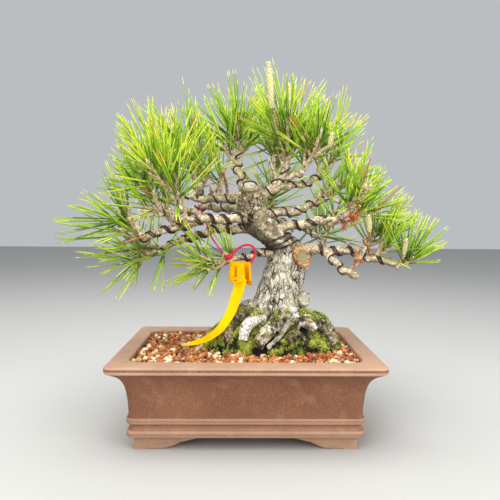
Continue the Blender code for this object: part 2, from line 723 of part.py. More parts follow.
class CrownSpace:
    """Says whether a twig or needle keeps to its mass's own space and clear of every limb."""

    def __init__(self, paths):
        self.lows, self.highs, self.radii, self.owners = solid_segments(paths)
        self.names = list(MASSES)
        self.hearts = np.array([heart_of(name)[:] for name in self.names])

    def holds(self, name, start, end, free_from=0.0):
        begin = np.array(start)
        finish = np.array(end)
        low = np.array(CROWN_LOW) - CROWN_SLACK
        high = np.array(CROWN_HIGH) + CROWN_SLACK
        if (finish < low).any() or (finish > high).any():
            return False
        samples = np.linspace(free_from, 1.0, SAMPLES)[:, None] * (finish - begin)[None, :] + begin[None, :]
        inside = (samples > np.array(WINDOW_LOW)) & (samples < np.array(WINDOW_HIGH))
        if inside.all(axis=1).any() and name != WINDOW_FREE:
            return False
        own = self.names.index(name)
        squares = ((samples[:, None, :] - self.hearts[None, :, :]) ** 2).sum(axis=2)
        spacing = np.linalg.norm(self.hearts - self.hearts[own], axis=1)
        spacing[own] = 1.0
        depth = (squares - squares[:, own:own + 1]) / (2.0 * spacing)
        if (np.delete(depth, own, axis=1) < SPACE_CLEAR).any():
            return False
        apart = self.owners != name
        gaps = segment_gaps(begin, finish, self.lows[apart], self.highs[apart])
        limb = MASSES[name][0]
        margin = np.where(self.owners[apart] == limb, OWN_LIMB_CLEAR, LIMB_CLEAR)
        return bool((gaps > self.radii[apart] + margin).all())


def heart_of(name):
    return Vector(MASSES[name][1])


def aim_of(name):
    return Vector(MASSES[name][2])


def mass_stem(name, paths, group, material):
    """Stem of a mass: straight on from its bough's tip, just clear of it, then up to the heart."""
    points, radii = paths[MASSES[name][0]]
    outward = (points[-1] - points[-2]).normalized()
    foot = points[-1] + outward * CLEAR
    knee = foot + outward * STEM_STRAIGHT
    widths = [radii[-1], radii[-1], SHOOT_RADII[0] + STEM_SWELL]
    return tube(name, [foot, knee, heart_of(name)], widths, group, material, 0)


def grow_shoots(name, space, rng, pieces):
    """Shoots that fork from the heart, evenly round the line to the furthest tip."""
    fan = math.radians(MASSES[name][3])
    heart = heart_of(name)
    line = aim_of(name) - heart
    axis = line.normalized()
    shoots = []
    for index in range(SHOOT_TRIES):
        lean = fan * math.sqrt(index / SHOOT_TRIES)
        direction = leaning(axis, lean, index * GOLDEN_ANGLE + rng.random())
        direction = (direction + Vector((0, 0, SHOOT_RISE * (1.0 + axis.z)))).normalized()
        end = heart + direction * line.length * SHOOT_SHARE * rng.uniform(*SHOOT_VARIES)
        begin = heart - direction * SHOOT_SUNK
        if space.holds(name, heart, end, SHOOT_FREE_FROM) and apart_from(end, shoots):
            shoots.append((begin, end))
            spike("shoot", begin, end, *SHOOT_RADII, SHOOT_SIDES, pieces)
        if len(shoots) == SHOOTS:
            break
    return shoots


def grow_needles(name, shoots, space, rng, pieces):
    """Needles in a spiral up each shoot, leaning out at its foot and forwards at its tip."""
    length = (aim_of(name) - heart_of(name)).length * NEEDLE_SHARE
    taken = [(begin.lerp(end, BARE_SHARE), end) for begin, end in shoots]
    for order, (begin, end) in enumerate(shoots):
        others = taken[:order] + taken[order + 1:]
        direction = (end - begin).normalized()
        for slot in range(NEEDLES):
            share = (slot + 0.5) / NEEDLES
            root = begin.lerp(end, mix(NEEDLE_BED, share))
            lean = math.radians(mix(NEEDLE_LEAN, share))
            for attempt in range(NEEDLE_TRIES):
                turn = (slot + RETRY_TURN * attempt) * GOLDEN_ANGLE + order
                way = leaning(direction, lean * rng.uniform(*LEAN_VARIES), turn)
                tip = root + way * length * rng.uniform(*NEEDLE_VARIES)
                free_root = root.lerp(tip, FREE_FROM)
                if space.holds(name, free_root, tip) and clear_of(free_root, tip, others):
                    spike("needle", root, tip, NEEDLE_ROOT, 0.0, NEEDLE_SIDES, pieces)
                    others.append((free_root, tip))
                    taken.append((free_root, tip))
                    break


def grow_mass(name, paths, space, group, material):
    """One mass of needles, fused into one solid that grows from one stem by a seeded rule."""
    rng = random.Random(name)
    pieces = make_collection("mass_pieces")
    mass = mass_stem(name, paths, group, material)
    shoots = grow_shoots(name, space, rng, pieces)
    grow_needles(name, shoots, space, rng, pieces)
    axis = (aim_of(name) - heart_of(name)).normalized()
    leader_root = shoots[0][1] - axis * LEADER_SUNK
    spike("leader", leader_root, aim_of(name), NEEDLE_ROOT, 0.0, NEEDLE_SIDES, pieces)
    if name in CANDLES:
        add_candle(name, pieces)
    combine(mass, "UNION", group=pieces, solver="MANIFOLD")
    for piece in list(pieces.objects):
        bpy.data.objects.remove(piece, do_unlink=True)
    bpy.data.collections.remove(pieces)
    keep_largest_shell(mass)
    return mass


def add_candle(name, pieces):
    """New shoot that stands up from the heart of its mass, widest below its middle."""
    foot, tip, radius = CANDLES[name]
    foot = Vector(foot)
    tip = Vector(tip)
    middle = foot.lerp(tip, CANDLE_WIDEST)
    low_radius, high_radius = CANDLE_ENDS
    inner = foot.lerp(middle, 0.5)
    spike("candle_stalk", heart_of(name), inner, CANDLE_STALK, CANDLE_STALK, SHOOT_SIDES, pieces)
    spike("candle_low", foot, middle, low_radius, radius, CANDLE_SIDES, pieces)
    spike("candle_high", foot.lerp(middle, CANDLE_OVERLAP), tip, radius, high_radius, CANDLE_SIDES, pieces)


def clear_of(start, end, segments):
    """True where a needle passes the other needles and shoots of its mass without touching."""
    lows = np.array([low[:] for low, high in segments])
    highs = np.array([high[:] for low, high in segments])
    return bool((segment_gaps(np.array(start), np.array(end), lows, highs) > NEEDLE_APART).all())


def apart_from(end, shoots):
    """True where a new shoot ends well away from those that its mass has."""
    return all((end - other).length > SHOOT_APART for begin, other in shoots)


def mix(pair, share):
    return pair[0] + (pair[1] - pair[0]) * share


def tie_point(angle):
    """Point on the tie's hoop: a squared ring in a plane that leans back as it rises."""
    across = math.copysign(abs(math.cos(angle)) ** TIE_SQUARE, math.cos(angle)) * TIE_HALF[0]
    along = math.copysign(abs(math.sin(angle)) ** TIE_SQUARE, math.sin(angle)) * TIE_HALF[1]
    lean = math.radians(TIE_LEAN)
    return Vector(TIE_CENTRE) + Vector((across, along * math.sin(lean), along * math.cos(lean)))


def make_tie(group):
    """Soft tie that hangs on the low left limb and carries the label."""
    points = [tie_point(2.0 * math.pi * step / TIE_POINTS) for step in range(TIE_POINTS)]
    tie = tube("label_tie", points, [TIE_RADIUS] * TIE_POINTS, group, make_material("tie"), 1, True)
    smooth_round(tie)
    return tie


def label_line():
    """Middle line and widths of the label: up its back, over the tie's foot, and down its tail."""
    foot = tie_point(-math.pi / 2.0)
    back, back_width = FOLD_BACK
    line = [(foot + Vector((0.0, FOLD_RADIUS, -back)), back_width)]
    for step in range(FOLD_STEPS + 1):
        angle = math.pi * step / FOLD_STEPS
        turn = Vector((0.0, math.cos(angle), math.sin(angle))) * FOLD_RADIUS
        line.append((foot + turn, FOLD_WIDTH))
    return line + [(Vector(place), width) for place, width in LABEL_TAIL]


def make_label(group):
    """Blank plant label: a flexible strip that hangs from its tie and curls down to the soil."""
    line = label_line()
    rings = []
    across = Vector((1.0, 0.0, 0.0))
    for index, (centre, width) in enumerate(line):
        ahead = line[min(index + 1, len(line) - 1)][0]
        behind = line[max(index - 1, 0)][0]
        way = (ahead - behind).normalized()
        across = (across - way * across.dot(way)).normalized()
        front = across.cross(way)
        ring = []
        for side, face in ((-1, -1), (1, -1), (1, 1), (-1, 1)):
            ring.append(metres(centre + across * side * width / 2.0 + front * face * LABEL_THICK / 2.0))
        rings.append(ring)
    return loft("label", rings, group, make_material("label"))


def main():
    remove_scene_objects()
    bonsai = make_collection("black_pine_bonsai")
    cutters = make_collection("cutters")
    trunk_space = as_cutter(loft("trunk_space", trunk_space_rings(), cutters))
    make_pot(bonsai, cutters)
    make_soil(bonsai)
    moss = make_material("moss")
    for name in MOSS_PADS:
        make_moss(name, bonsai, trunk_space, moss)
    make_trunk(bonsai)
    make_cut_root(bonsai, trunk_space)
    paths = limb_paths()
    bark = make_material("bough_bark")
    for name in LIMBS:
        make_limb(name, paths, bonsai, cutters, trunk_space, bark)
    wire = make_material("wire")
    for name in WIRES:
        make_limb_wire(name, paths, bonsai, wire)
    make_trunk_wire(bonsai, wire)
    make_label(bonsai)
    make_tie(bonsai)
    needle = make_material("needle")
    space = CrownSpace(paths)
    for name in MASSES:
        grow_mass(name, paths, space, bonsai, needle)


main()
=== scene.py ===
"""Looks of the black pine bonsai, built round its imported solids.

Tables are in millimetres, in the solids' own frame, and are scaled by MM when a mesh is made. The limbs and
the masses of needles repeat the source's tables and its rule of growth, carried on to finer twigs. Colours
are 8-bit screen colours.
"""

import math
import random

import bmesh
import bpy
import numpy as np
from mathutils import Matrix, Vector
from mathutils.bvhtree import BVHTree


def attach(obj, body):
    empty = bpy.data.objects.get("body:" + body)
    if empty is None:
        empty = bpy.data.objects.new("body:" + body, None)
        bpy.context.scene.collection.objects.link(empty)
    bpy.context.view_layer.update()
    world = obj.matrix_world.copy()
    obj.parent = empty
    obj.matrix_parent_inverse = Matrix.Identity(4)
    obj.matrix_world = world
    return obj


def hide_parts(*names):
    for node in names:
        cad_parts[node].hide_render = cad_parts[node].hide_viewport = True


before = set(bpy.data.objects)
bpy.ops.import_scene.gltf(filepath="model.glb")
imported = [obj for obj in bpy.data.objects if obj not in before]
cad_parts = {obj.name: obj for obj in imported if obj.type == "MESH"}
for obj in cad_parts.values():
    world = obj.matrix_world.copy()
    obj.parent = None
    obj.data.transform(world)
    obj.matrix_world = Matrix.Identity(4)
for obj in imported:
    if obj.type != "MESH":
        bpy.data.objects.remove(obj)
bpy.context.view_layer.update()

# Values used throughout: ASKEW is crossed with a needle's way to find its side, and a spike's faces join
# three corners at its foot to its tip
MM = 0.001
CIRCLE = 2.0 * math.pi
GOLDEN_ANGLE = math.radians(137.5)
UP = np.array([0.0, 0.0, 1.0])
EVEN = (1.0, 1.0, 1.0)
SPIKE_FACES = np.array([(0, 1, 3), (1, 2, 3), (2, 0, 3), (0, 2, 1)])
CURVE_STEPS = 12
FINE_STEP = 1
SEEDS = 999
ANY_WAY = ((-1, 1), (-1, 1), (-1, 1))
ASKEW = np.array([0.3, 0.2, 1.0])

# Noises in space: size of the largest lumps, octaves and seed
NOISES = {
    "pot_waves": (60, 2, 11),
    "pot_wear_and_highlight": (12, 3, 5),
    "soil_bumps": (22, 3, 21),
    "mound_edge": (24, 3, 29),
    "moss_tone": (7, 3, 57),
    "trunk_lumps": (26, 2, 61),
    "shallow_cracks": (9, 3, 79),
    "rough": (1.8, 3, 83),
    "lumps": (12, 2, 87),
    "knobs": (7.5, 2, 89),
    "blotches": (9, 3, 91),
    "spots": (5, 3, 95),
    "hollows": (6, 3, 99),
    "neck_cracks": (4.5, 3, 103),
    "limb_cracks": (8, 2, 137),
    "limb_shade": (3, 2, 139),
}

# Gates: value where a feature starts, and value where it is full
GATES = {
    "worn_and_highlit_edge": (0.03, 0.25),
    "above_belts": (34, 60),
    "below_belts": (34, 18),
    "pot_waves": (6, 20),
    "mound_edge": (1.0, 1.15),
    "moss_bed": (-1.6, 1.8),
    "fresh_moss": (2, -18),
    "shallow_cracks": (0.34, 0.62),
    "plates": (0.0, 0.18),
    "flakes": (0.0, 0.24),
    "knobs": (184, 198),
    "neck": (186, 200),
    "off_scars": (-1, 3),
    "smooth_root": (2, 0),
    "near_root": (1.6, -0.6),
    "white_root": (2.6, 0.9),
    "white_height": (121, 115),
    "root_zone": (127, 118),
    "facing_down": (0.30, -0.40),
    "above_bend": (172, 184),
    "below_tip": (240, 225),
    "root_lichen": (0.50, 0.58),
    "trunk_lichen": (0.60, 0.70),
    "lichen_plates": (0.5, 0.6),
    "facing_up": (0.05, 0.6),
    "root_moss": (0.46, 0.58),
    "neck_cracks": (0.54, 0.64),
    "between_knobs": (-0.6, -2.4),
    "hollows": (0.46, 0.60),
    "limb_knots": (0.52, 0.75),
    "limb_edges": (0.02, 0.16),
    "limb_cracks": (0.42, 0.62),
    "limb_beneath": (-0.1, -0.8),
}

# Pot: half sizes of its lip, height of each moulding and how far it is set in, then its inside and its feet
POT_HALF = (127, 94)
POT_TOP = 82
POT_CORNER = 7
POT_CORNER_STEPS = 8
POT_OUTER = (
    (12, 19), (13.5, 17), (18, 16.8), (19.5, 18.6), (22, 19.4), (24.5, 18.6), (26, 16.8), (30.5, 16.8),
    (32, 18.2), (45, 17.6), (58, 15.6), (66, 12.4), (71, 8), (74.5, 2.6), (75.6, 0.8), (77, 0), (81, 0),
)
POT_INNER = ((82, 110, 72), (78, 109, 71.2), (66, 106, 70), (45, 102, 68), (20, 100, 66))
POT_INNER_CORNER = 14
POT_SIDE_STEPS = 30
POT_PROFILE_STEP = 1.1
POT_SOFT_ANGLE = 40
POT_WAVES = 0.5
LIP_ROUND = 1.4
LIP_STEPS = 5
# Wear and painted highlight: the lip's top and raised edges are rubbed pale and also painted lighter as if
# lit from above
WEAR_AND_HIGHLIGHT_VARIES = (0.5, 1.0)
LIP_WEAR_AND_HIGHLIGHT = 0.68
BELT_WEAR_AND_HIGHLIGHT = 0.6
BELT_DUST = 0.24
FOOT_DUST = 0.60
FOOT_INSET = 23
FOOT_FLAT = 24
FOOT_LENGTH = 60
FOOT_SUNK = 16
FOOT_ROUND = 1.2
FOOT_EDGE = ((0.0, FOOT_ROUND), (FOOT_ROUND * 0.3, FOOT_ROUND * 0.3), (FOOT_ROUND, 0.0), (13.0, 0.0))
OGEE_STEPS = 16
OGEE_BEND = 0.11
OGEE_RISE = 11

# Soil, and its grains: the two layers' spacings and how high they lie, sizes, flatness, and colours with a
# dark tone, a light tone and a weight
SOIL_LEVEL = 77
SOIL_RISE = 3
SOIL_SLOPE = (70, 48)
SOIL_BUMPS = 2.2
SOIL_STEP = 2.5
SOIL_WALL_DEPTH = 3
PEBBLE_KINDS = 24
PEBBLE_SEED = 41
PEBBLE_LUMPS = (0.72, 1.28)
GRAIN_LAYERS = ((4.1, 0.35), (5.2, 0.9))
GRAIN_WALL = 2.6
GRAIN_SQUASH = ((0.75, 1.0), (0.6, 0.85))
GRAIN_MOSSY = 0.5
DRIFT_SIZE = 26
DRIFT_SEED = 43
PALE_SHARES = (0.01, 0.26)
PALE_LEFT = 1.6
PALE_RIGHT = 0.6
LAVA = ("grains_lava", (1.7, 3.3), np.array([1.0, 1.0, 1.0]), (
    ("lava_red", (120, 56, 28), (204, 118, 68), 4),
    ("lava_brown", (80, 44, 24), (152, 94, 56), 3),
    ("lava_orange", (162, 90, 44), (230, 156, 96), 3),
    ("lava_ochre", (158, 112, 62), (222, 178, 116), 2),
))
PUMICE = ("grains_pumice", (2.4, 5.2), np.array([1.0, 0.80, 0.80]), (
    ("pumice_cream", (202, 184, 138), (244, 231, 192), 4),
    ("pumice_white", (216, 205, 170), (250, 244, 220), 4),
    ("pumice_buff", (178, 146, 100), (228, 200, 150), 2),
))

# Mound of moss round the roots: middle, half sizes, rise and ragged edge, then its tufts
MOSS_OVER = 3
MOUND_PLACE = (27, -3)
MOUND_HALF = (70, 42)
MOUND_RISE = 40
MOUND_DIP = 6
MOUND_RAGGED = 0.22
MOUND_POWER = 2.4
MOSS_LUMPS = ((13, 6), (5, 4), (2.4, 2.6))
MOSS_SEED = 31
MOSS_PADS = ("moss_front_left", "moss_front_middle", "moss_front_right", "moss_back")
BED_SPAN = (-50, 104, -52, 46)
BED_STEP = 0.9
BED_SUNK = 2
TUFTS = 26000
BARK_TUFTS = 9000
TUFT_SEED = 7
TUFT_TALL = (0.9, 2.6)
TUFT_WIDE = 0.6
TUFT_SUNK = 0.4
TUFT_CORNERS = (0.0, 2.1, 4.2)
TUFT_UP = 0.6
TUFT_STRAY = 0.45
TUFT_LOWEST = 78
MOSSY_BARK = 0.45
DRY_SHARE = 0.12
MOSS_BARE = -0.7
MOSS_TONES = (-0.5, 0.4, 1.5)
SWELL_TONE = 0.8
PATCH_TONE = 6.5
TUFT_TONE = 1.1
FRESH_TONE = 1.8
MOSS_COLOURS = (
    ("moss_dark", (50, 50, 20), 0.9), ("moss_olive", (98, 106, 40), 0.9), ("moss_green", (136, 160, 54), 0.9),
    ("moss_bright", (194, 210, 88), 0.9), ("moss_dry", (168, 138, 76), 0.9),
)

# Trunk: height, left edge and right edge in the front view, and half depth, from its buried foot to its cut
TRUNK = (
    (79, -8, 68, 30), (96, -3, 64, 28), (110, 0, 60, 26), (120, 3, 57, 25), (130, 8.5, 54.5, 23),
    (142, 13, 57, 22), (160, 19, 63, 21.5), (174, 23.5, 68, 21.5), (184, 22, 65, 20.5), (192, 13, 52, 19.5),
    (202, 1, 39, 18), (213, -9, 27, 17), (226, -9, 21, 15.5), (240, -8.5, 19, 14), (248, -7, 17, 12.5),
    (250, -2, 11, 7),
)
TRUNK_STEP = 2
TRUNK_SIDES = 56
TRUNK_LUMPS = 2.4
TRUNK_VOXEL = 0.82
TRUNK_SOFTENING = 3

# Roots: places and radii down each, from inside the trunk's foot
ROOTS = {
    "white": ((15, -20, 114, 5.4), (9, -30, 114, 5.6), (3, -34, 111, 5.8), (-1, -38, 105, 5.6),
              (-3, -40, 95, 4.6)),
    "bark": ((40, -16, 119, 7), (33, -26, 114, 7), (26, -34, 107, 7), (17, -39, 99, 6.6), (11, -43, 90, 5.6)),
    "pale": ((43, -32, 112, 3), (39, -36, 107, 2.5), (35, -40, 101, 2.1), (29, -43, 96, 1.9),
             (21, -45, 89, 1.6)),
    "thin": ((43, -34, 110, 1.7), (51, -39, 103, 1.6), (57, -42, 98, 1.5), (61, -43, 93, 1.3)),
    "chunk": ((46, -18, 118, 7.5), (54, -27, 114, 7.4), (63, -31, 111, 7.4), (70, -33, 105, 6)),
    "right": ((52, -4, 115, 8.5), (66, -13, 112, 8), (78, -17, 108, 8), (84, -20, 100, 7.2),
              (87, -20, 88, 6.5)),
    "lump": ((12, -12, 119, 8), (-4, -18, 117, 7.4), (-13, -24, 112, 7.2), (-18, -28, 103, 6.6),
             (-19, -31, 91, 5.8)),
    "stub": ((17, -4, 126, 6), (6, -8, 126, 5), (-2, -10, 124.5, 4.4), (-9, -11, 122.5, 3.6)),
    "brown": ((48, -30, 107, 6.5), (45, -37, 100, 5.2), (40, -42, 95, 4.4)),
    "left": ((8, 4, 116, 9), (-10, 7, 110, 8), (-22, 9, 100, 7), (-29, 10, 88, 6)),
    "back_left": ((12, 12, 116, 9), (0, 22, 108, 8), (-9, 29, 98, 7), (-15, 33, 86, 5.5)),
    "back": ((30, 14, 118, 10), (30, 26, 110, 8.5), (28, 33, 99, 7.5), (27, 37, 86, 6)),
    "back_right": ((48, 10, 114, 8.5), (63, 20, 106, 7.5), (73, 27, 97, 6.5), (80, 31, 86, 5.5)),
}
ROOT_STEP = 2
ROOT_SIDES = 14

# Bark: how its pattern is bent and squeezed, size and seed of its cells, then how high each kind stands
BARK_WARPS = ((11, 6), (3.5, 2.2))
BARK_STRETCH = 0.42
NECK_HEIGHT = 188
NECK_LEAN = 0.4
NECK_MIDDLE = 20
PLATE_CELLS = (6, 71)
FLAKE_CELLS = (2.8, 77)
PLATE_SHALLOW = 0.25
KNOB_HIGH = 9
PLATE_HIGH = 0.9
PLATE_UNEVEN = 0.8
FLAKE_HIGH = 0.4
FLAKE_UNEVEN = 0.7
ROUGH_HIGH = 1.6
LUMP_HIGH = 1.6
BARK_SUNK = 1.0

# Tones of the bark: how ragged each zone's edge is, then how strong each tone is, least and most
ROOT_RAGGED = 14
NECK_RAGGED = 16
MOSS_RAGGED = 2.2
WHITE_CALM = 0.6
NECK_BROWN = (0.62, 0.95)
ROOT_BROWN = (0.80, 1.0)
PLATE_CRACK = (0.1, 1.6)
HOLLOW_DARK = (0.30, 0.92)
PALE_LICHEN = {"pale": 0.7}
ROOT_LICHEN = {"chunk": 1.0, "bark": 0.8, "right": 0.8}
TRUNK_LICHEN = 0.7
ROOT_MOSS = {"lump": 1.0, "right": 0.7}
LICHEN_COVER = 0.9
# BEND_SHADE and KNOB_SHADE are painted shade: darker under the bend of the neck and in the dips between the
# knobs
BEND_SHADE = 0.85
NECK_CRACK = 0.6
KNOB_DEEP = 7
KNOB_SHADE = 0.5

# Scars: piece and nodes that it stands for, middle, way it faces, half sizes, tilt, profile, seed, wood and
# callus. A profile's rings have a share of the half sizes, a height and a colour slot
# In TIP_PROFILE, slot 2 is painted shade: a dark band in the dip between the sawn wood and the callus
TIP_PROFILE = ((0.02, 0.6, 0), (0.35, 0.6, 0), (0.7, 0.7, 0), (0.84, 0.7, 2), (0.98, -0.2, 2), (1.1, 1.4, 1),
               (1.26, 1.7, 1), (1.42, 0.7, 1), (1.54, -1.8, 1))
SIDE_PROFILE = ((0.02, 0.3, 0), (0.4, 0.3, 0), (0.8, 0.4, 0), (0.96, 0.3, 1), (1.06, 1.5, 1), (1.2, 2.1, 1),
                (1.34, 1.7, 1), (1.46, 0.4, 1), (1.54, -1.8, 1))
KNOB_PROFILE = ((0.02, 0.2, 0), (0.16, 0.2, 0), (0.3, 0.5, 0), (0.5, 0.5, 1), (0.6, 0.1, 1), (0.72, 1.1, 1),
                (0.86, 0.9, 1), (0.98, -0.9, 1), (1.05, -3.6, 1), (1.0, -7.0, 1), (0.9, -11.0, 1))
SCARS = (
    ("scar_tip", (), (3, -11.5, 248.2), (0, -0.66, 0.75), (6.8, 6), 0, TIP_PROFILE, 101,
     ("sawn_wood", (150, 152, 142), (218, 219, 209)),
     ("scar_callus", (96, 78, 56), (160, 138, 104), (210, 192, 156))),
    ("scar_side", (), (56.8, -18.9, 175.6), (0.50, -0.86, 0.08), (5.8, 8), 36, SIDE_PROFILE, 107,
     ("healed_wood", (126, 122, 82), (172, 170, 124)),
     ("fresh_callus", (150, 90, 48), (204, 142, 90), (232, 188, 138))),
    ("root_knob", ("cut_root",), (61.5, -7, 131.5), (0.42, -0.88, 0.12), (8.2, 8.2), 0, KNOB_PROFILE, 113,
     ("weathered_wood", (138, 132, 114), (226, 222, 206)),
     ("knob_bark", (110, 102, 84), (178, 170, 148), (228, 222, 202))),
)
GROOVE_SHADE = ("scar_groove_shade", (52, 44, 34), 0.95)
SCAR_SIDES = 40
SCAR_WOBBLES = ((6, 1.5, 0), (1.8, 0.9, 5))
CALM_SPOTS = (((3.6, -9.5, 246.5), 6), ((56.6, -17.6, 175.5), 7), ((61, -4, 131.5), 8))

# Limbs: parent, start (a point in the trunk, or how far along the parent limb), tip, bow of its
# middle, radius at its root and at its tip
LIMBS = {
    "bough_left_long": ("trunk", (6, -6, 214), (-98, -30, 196), (4, -8, 7), 5.0, 3.0),
    "bough_left_low": ("trunk", (10, 0, 203), (-94, -14, 179), (4, 8, 10), 4.8, 2.8),
    "bough_left_upper": ("trunk", (4, 3, 240), (-54, 6, 252), (-16, 4, -11), 5.0, 3.0),
    "bough_left_outer": ("bough_left_upper", 0.55, (-77, -6, 250), (-6, -4, -4), 2.9, 2.2),
    "bough_left_rise": ("bough_left_long", 0.52, (-88, -48, 230), (-6, -6, -6), 2.9, 2.2),
    "bough_left_front": ("bough_left_rise", 0.45, (-64, -62, 230), (2, -3, -3), 2.5, 2.2),
    "bough_apex": ("trunk", (10, 0, 236), (41, 0, 275), (8, 0, -3), 6.0, 3.6),
    "bough_apex_left": ("trunk", (2, 5, 238), (-8, 9, 284), (-5, 2, 0), 4.6, 2.8),
    "bough_apex_twig": ("bough_apex", 0.62, (60, -10, 268), (4, -2, -3), 2.9, 2.3),
    "bough_apex_right": ("bough_apex", 0.40, (84, 12, 264), (4, 3, -4), 3.6, 2.4),
    "bough_right_upper": ("trunk", (12, 2, 220), (92, 4, 243), (2, 4, -8), 4.6, 2.8),
    "bough_right_main": ("trunk", (26, -5, 202), (103, -16, 214), (2, -7, 3), 4.8, 2.8),
    "bough_right_low": ("trunk", (50, -4, 183), (150, -18, 169), (2, -2, 5), 5.0, 2.8),
    "bough_right_rise": ("bough_right_low", 0.60, (124, 0, 187), (4, 4, -2), 2.8, 2.2),
    "bough_right_hook": ("bough_right_low", 0.30, (108, -22, 158), (-2, -5, -3), 3.2, 3.0),
    "bough_back_right": ("trunk", (14, 8, 208), (86, 70, 194), (-2, 12, 8), 4.4, 2.6),
    "bough_back_middle": ("trunk", (6, 6, 228), (30, 80, 230), (-4, 4, -5), 4.2, 2.6),
    "bough_back_left": ("trunk", (2, 6, 221), (-82, 68, 222), (4, 8, 6), 4.4, 2.6),
    "bough_back_top": ("bough_apex", 0.30, (30, 40, 282), (0, 8, -6), 3.4, 2.4),
    "bough_front_right": ("bough_right_main", 0.54, (88, -56, 216), (2, -6, -2), 2.9, 2.2),
    "bough_tag": ("trunk", (34, -6, 181), (-20, -12, 170), (2, 1, 2), 3.8, 2.6),
}
LIMB_POINTS = 10
LIMB_KINK = 1.7
LIMB_KINKS = 2.5
LIMB_STEP = 1.3
LIMB_SIDES = 14
LIMB_SEED = 200
KNOT_SIZE = 7
KNOT_HIGH = 0.9
GRAIN_SIZE = 3.2
GRAIN_HIGH = 1.3
SCALE_SIZE = 3.4
SCALE_SEED = 131
LIMB_RAGGED = 0.8
LIMB_CRACK = 0.6
LIMB_SHADE = 0.7
STEM_STRAIGHT = 4.3
STEM_RADIUS = 2.6
COLLAR_SWELL = 0.45
COLLAR_LENGTH = 7
SPUR_FROM = 30
SPUR_SPACING = 15
SPUR_STRAY = 6
SPUR_WAY = ((-1, 1), (-1, 1), (-0.4, 1.0))
SPUR_FOOT = 0.1
SPUR_LENGTHS = (1.0, 3.5)
SPUR_RADII = (1.9, 1.0, 1.5)
SPUR_LEAN = 0.35
SPUR_POINTS = 5
SPUR_SIDES = 8
SPUR_ROUGH = 0.6

# Bare stubs, and dead twigs where no thicker than DEAD_RADIUS: bough, share along it, run to the tip, radius
STUBS = (
    ("bough_right_upper", 0.62, (8, -6, 12), 2.3),
    ("bough_right_upper", 0.72, (18, -4, 15), 2.0),
    ("bough_right_upper", 0.80, (12, -10, -6), 2.0),
    ("bough_right_main", 0.55, (10, -8, -5), 2.1),
    ("bough_right_main", 0.80, (14, 4, 12), 1.9),
    ("bough_right_low", 0.62, (6, -8, -6), 2.0),
    ("bough_right_low", 0.45, (4, -5, 9), 2.0),
    ("bough_right_hook", 0.96, (7, -3, -2), 3.4),
    ("bough_right_hook", 0.90, (16, -2, 28), 1.9),
    ("bough_apex", 0.40, (-9, -6, 26), 1.7),
    ("bough_apex", 0.75, (-6, -8, 10), 2.0),
    ("bough_left_upper", 0.45, (-3, -10, 14), 2.0),
    ("bough_left_upper", 0.62, (-4, -8, 14), 1.7),
    ("bough_left_long", 0.42, (-6, -8, 10), 2.0),
    ("bough_left_long", 0.60, (-10, -4, 12), 2.0),
    ("bough_left_low", 0.55, (-6, -10, 6), 2.0),
    ("bough_left_upper", 0.28, (-4, -20, 27), 1.3),
    ("bough_right_low", 0.72, (-12, -14, 20), 1.5),
    ("bough_right_hook", 0.94, (4, -6, 26), 1.6),
    ("bough_right_upper", 0.80, (6, -14, 14), 1.3),
    ("bough_right_main", 0.88, (10, -10, 14), 1.3),
    ("bough_left_long", 0.80, (-26, -14, -8), 1.0),
)
DEAD_RADIUS = 1.6
STUB_BOW = ((-2, 2), (-2, 2), (-1, 2))
STUB_SWELL = 1.25
STUB_SIDES = 9
STUB_ROUGH = 0.8
BOUGH_COLOURS = (
    ("bough_bark_fine", (124, 98, 68), (212, 188, 148), (250, 238, 210)),
    ("dead_twig", (150, 92, 50), (204, 140, 88), (232, 184, 132)),
)

# Wires: bough, share where it starts and ends, pitch, strands and phase; then those round the trunk, by low
# and high height, first and last angle
WIRE_RADIUS = 0.85
WIRE_PRESSED = 1.15
WIRE_SIDES = 8
WIRE_GAP = 2.5
WIRE_POINTS = 16
WIRES = (
    ("bough_left_long", 0.10, 0.88, 15, 2, 0.0),
    ("bough_left_low", 0.12, 0.88, 15, 2, 1.0),
    ("bough_left_upper", 0.16, 0.80, 15, 1, 2.0),
    ("bough_left_outer", 0.15, 0.80, 16, 1, 0.5),
    ("bough_left_rise", 0.20, 0.80, 17, 1, 1.2),
    ("bough_apex", 0.14, 0.80, 14, 1, 0.6),
    ("bough_apex_left", 0.18, 0.85, 13, 1, 2.4),
    ("bough_apex_right", 0.15, 0.82, 15, 1, 0.0),
    ("bough_right_upper", 0.12, 0.84, 15, 1, 1.4),
    ("bough_right_main", 0.22, 0.84, 15, 2, 0.4),
    ("bough_right_low", 0.22, 0.88, 15, 2, 2.2),
    ("bough_right_hook", 0.20, 0.90, 14, 1, 1.0),
    ("bough_back_right", 0.20, 0.85, 19, 1, 0.7),
    ("bough_back_left", 0.20, 0.85, 19, 1, 1.7),
    ("bough_back_middle", 0.20, 0.85, 19, 1, 2.7),
    ("bough_tag", 0.20, 0.62, 12, 2, 0.9),
)
TRUNK_WIRES = ((186, 189, 190, 480), (189, 192, 192, 470), (192.4, 196, 198, 400))
TRUNK_WIRE_TILT = 4.5
TRUNK_WIRE_STEPS = 60
TRUNK_WIRE_PRESSED = 0.9
TRUNK_WIRE_SOFTENING = 3
RAY_FROM = 90

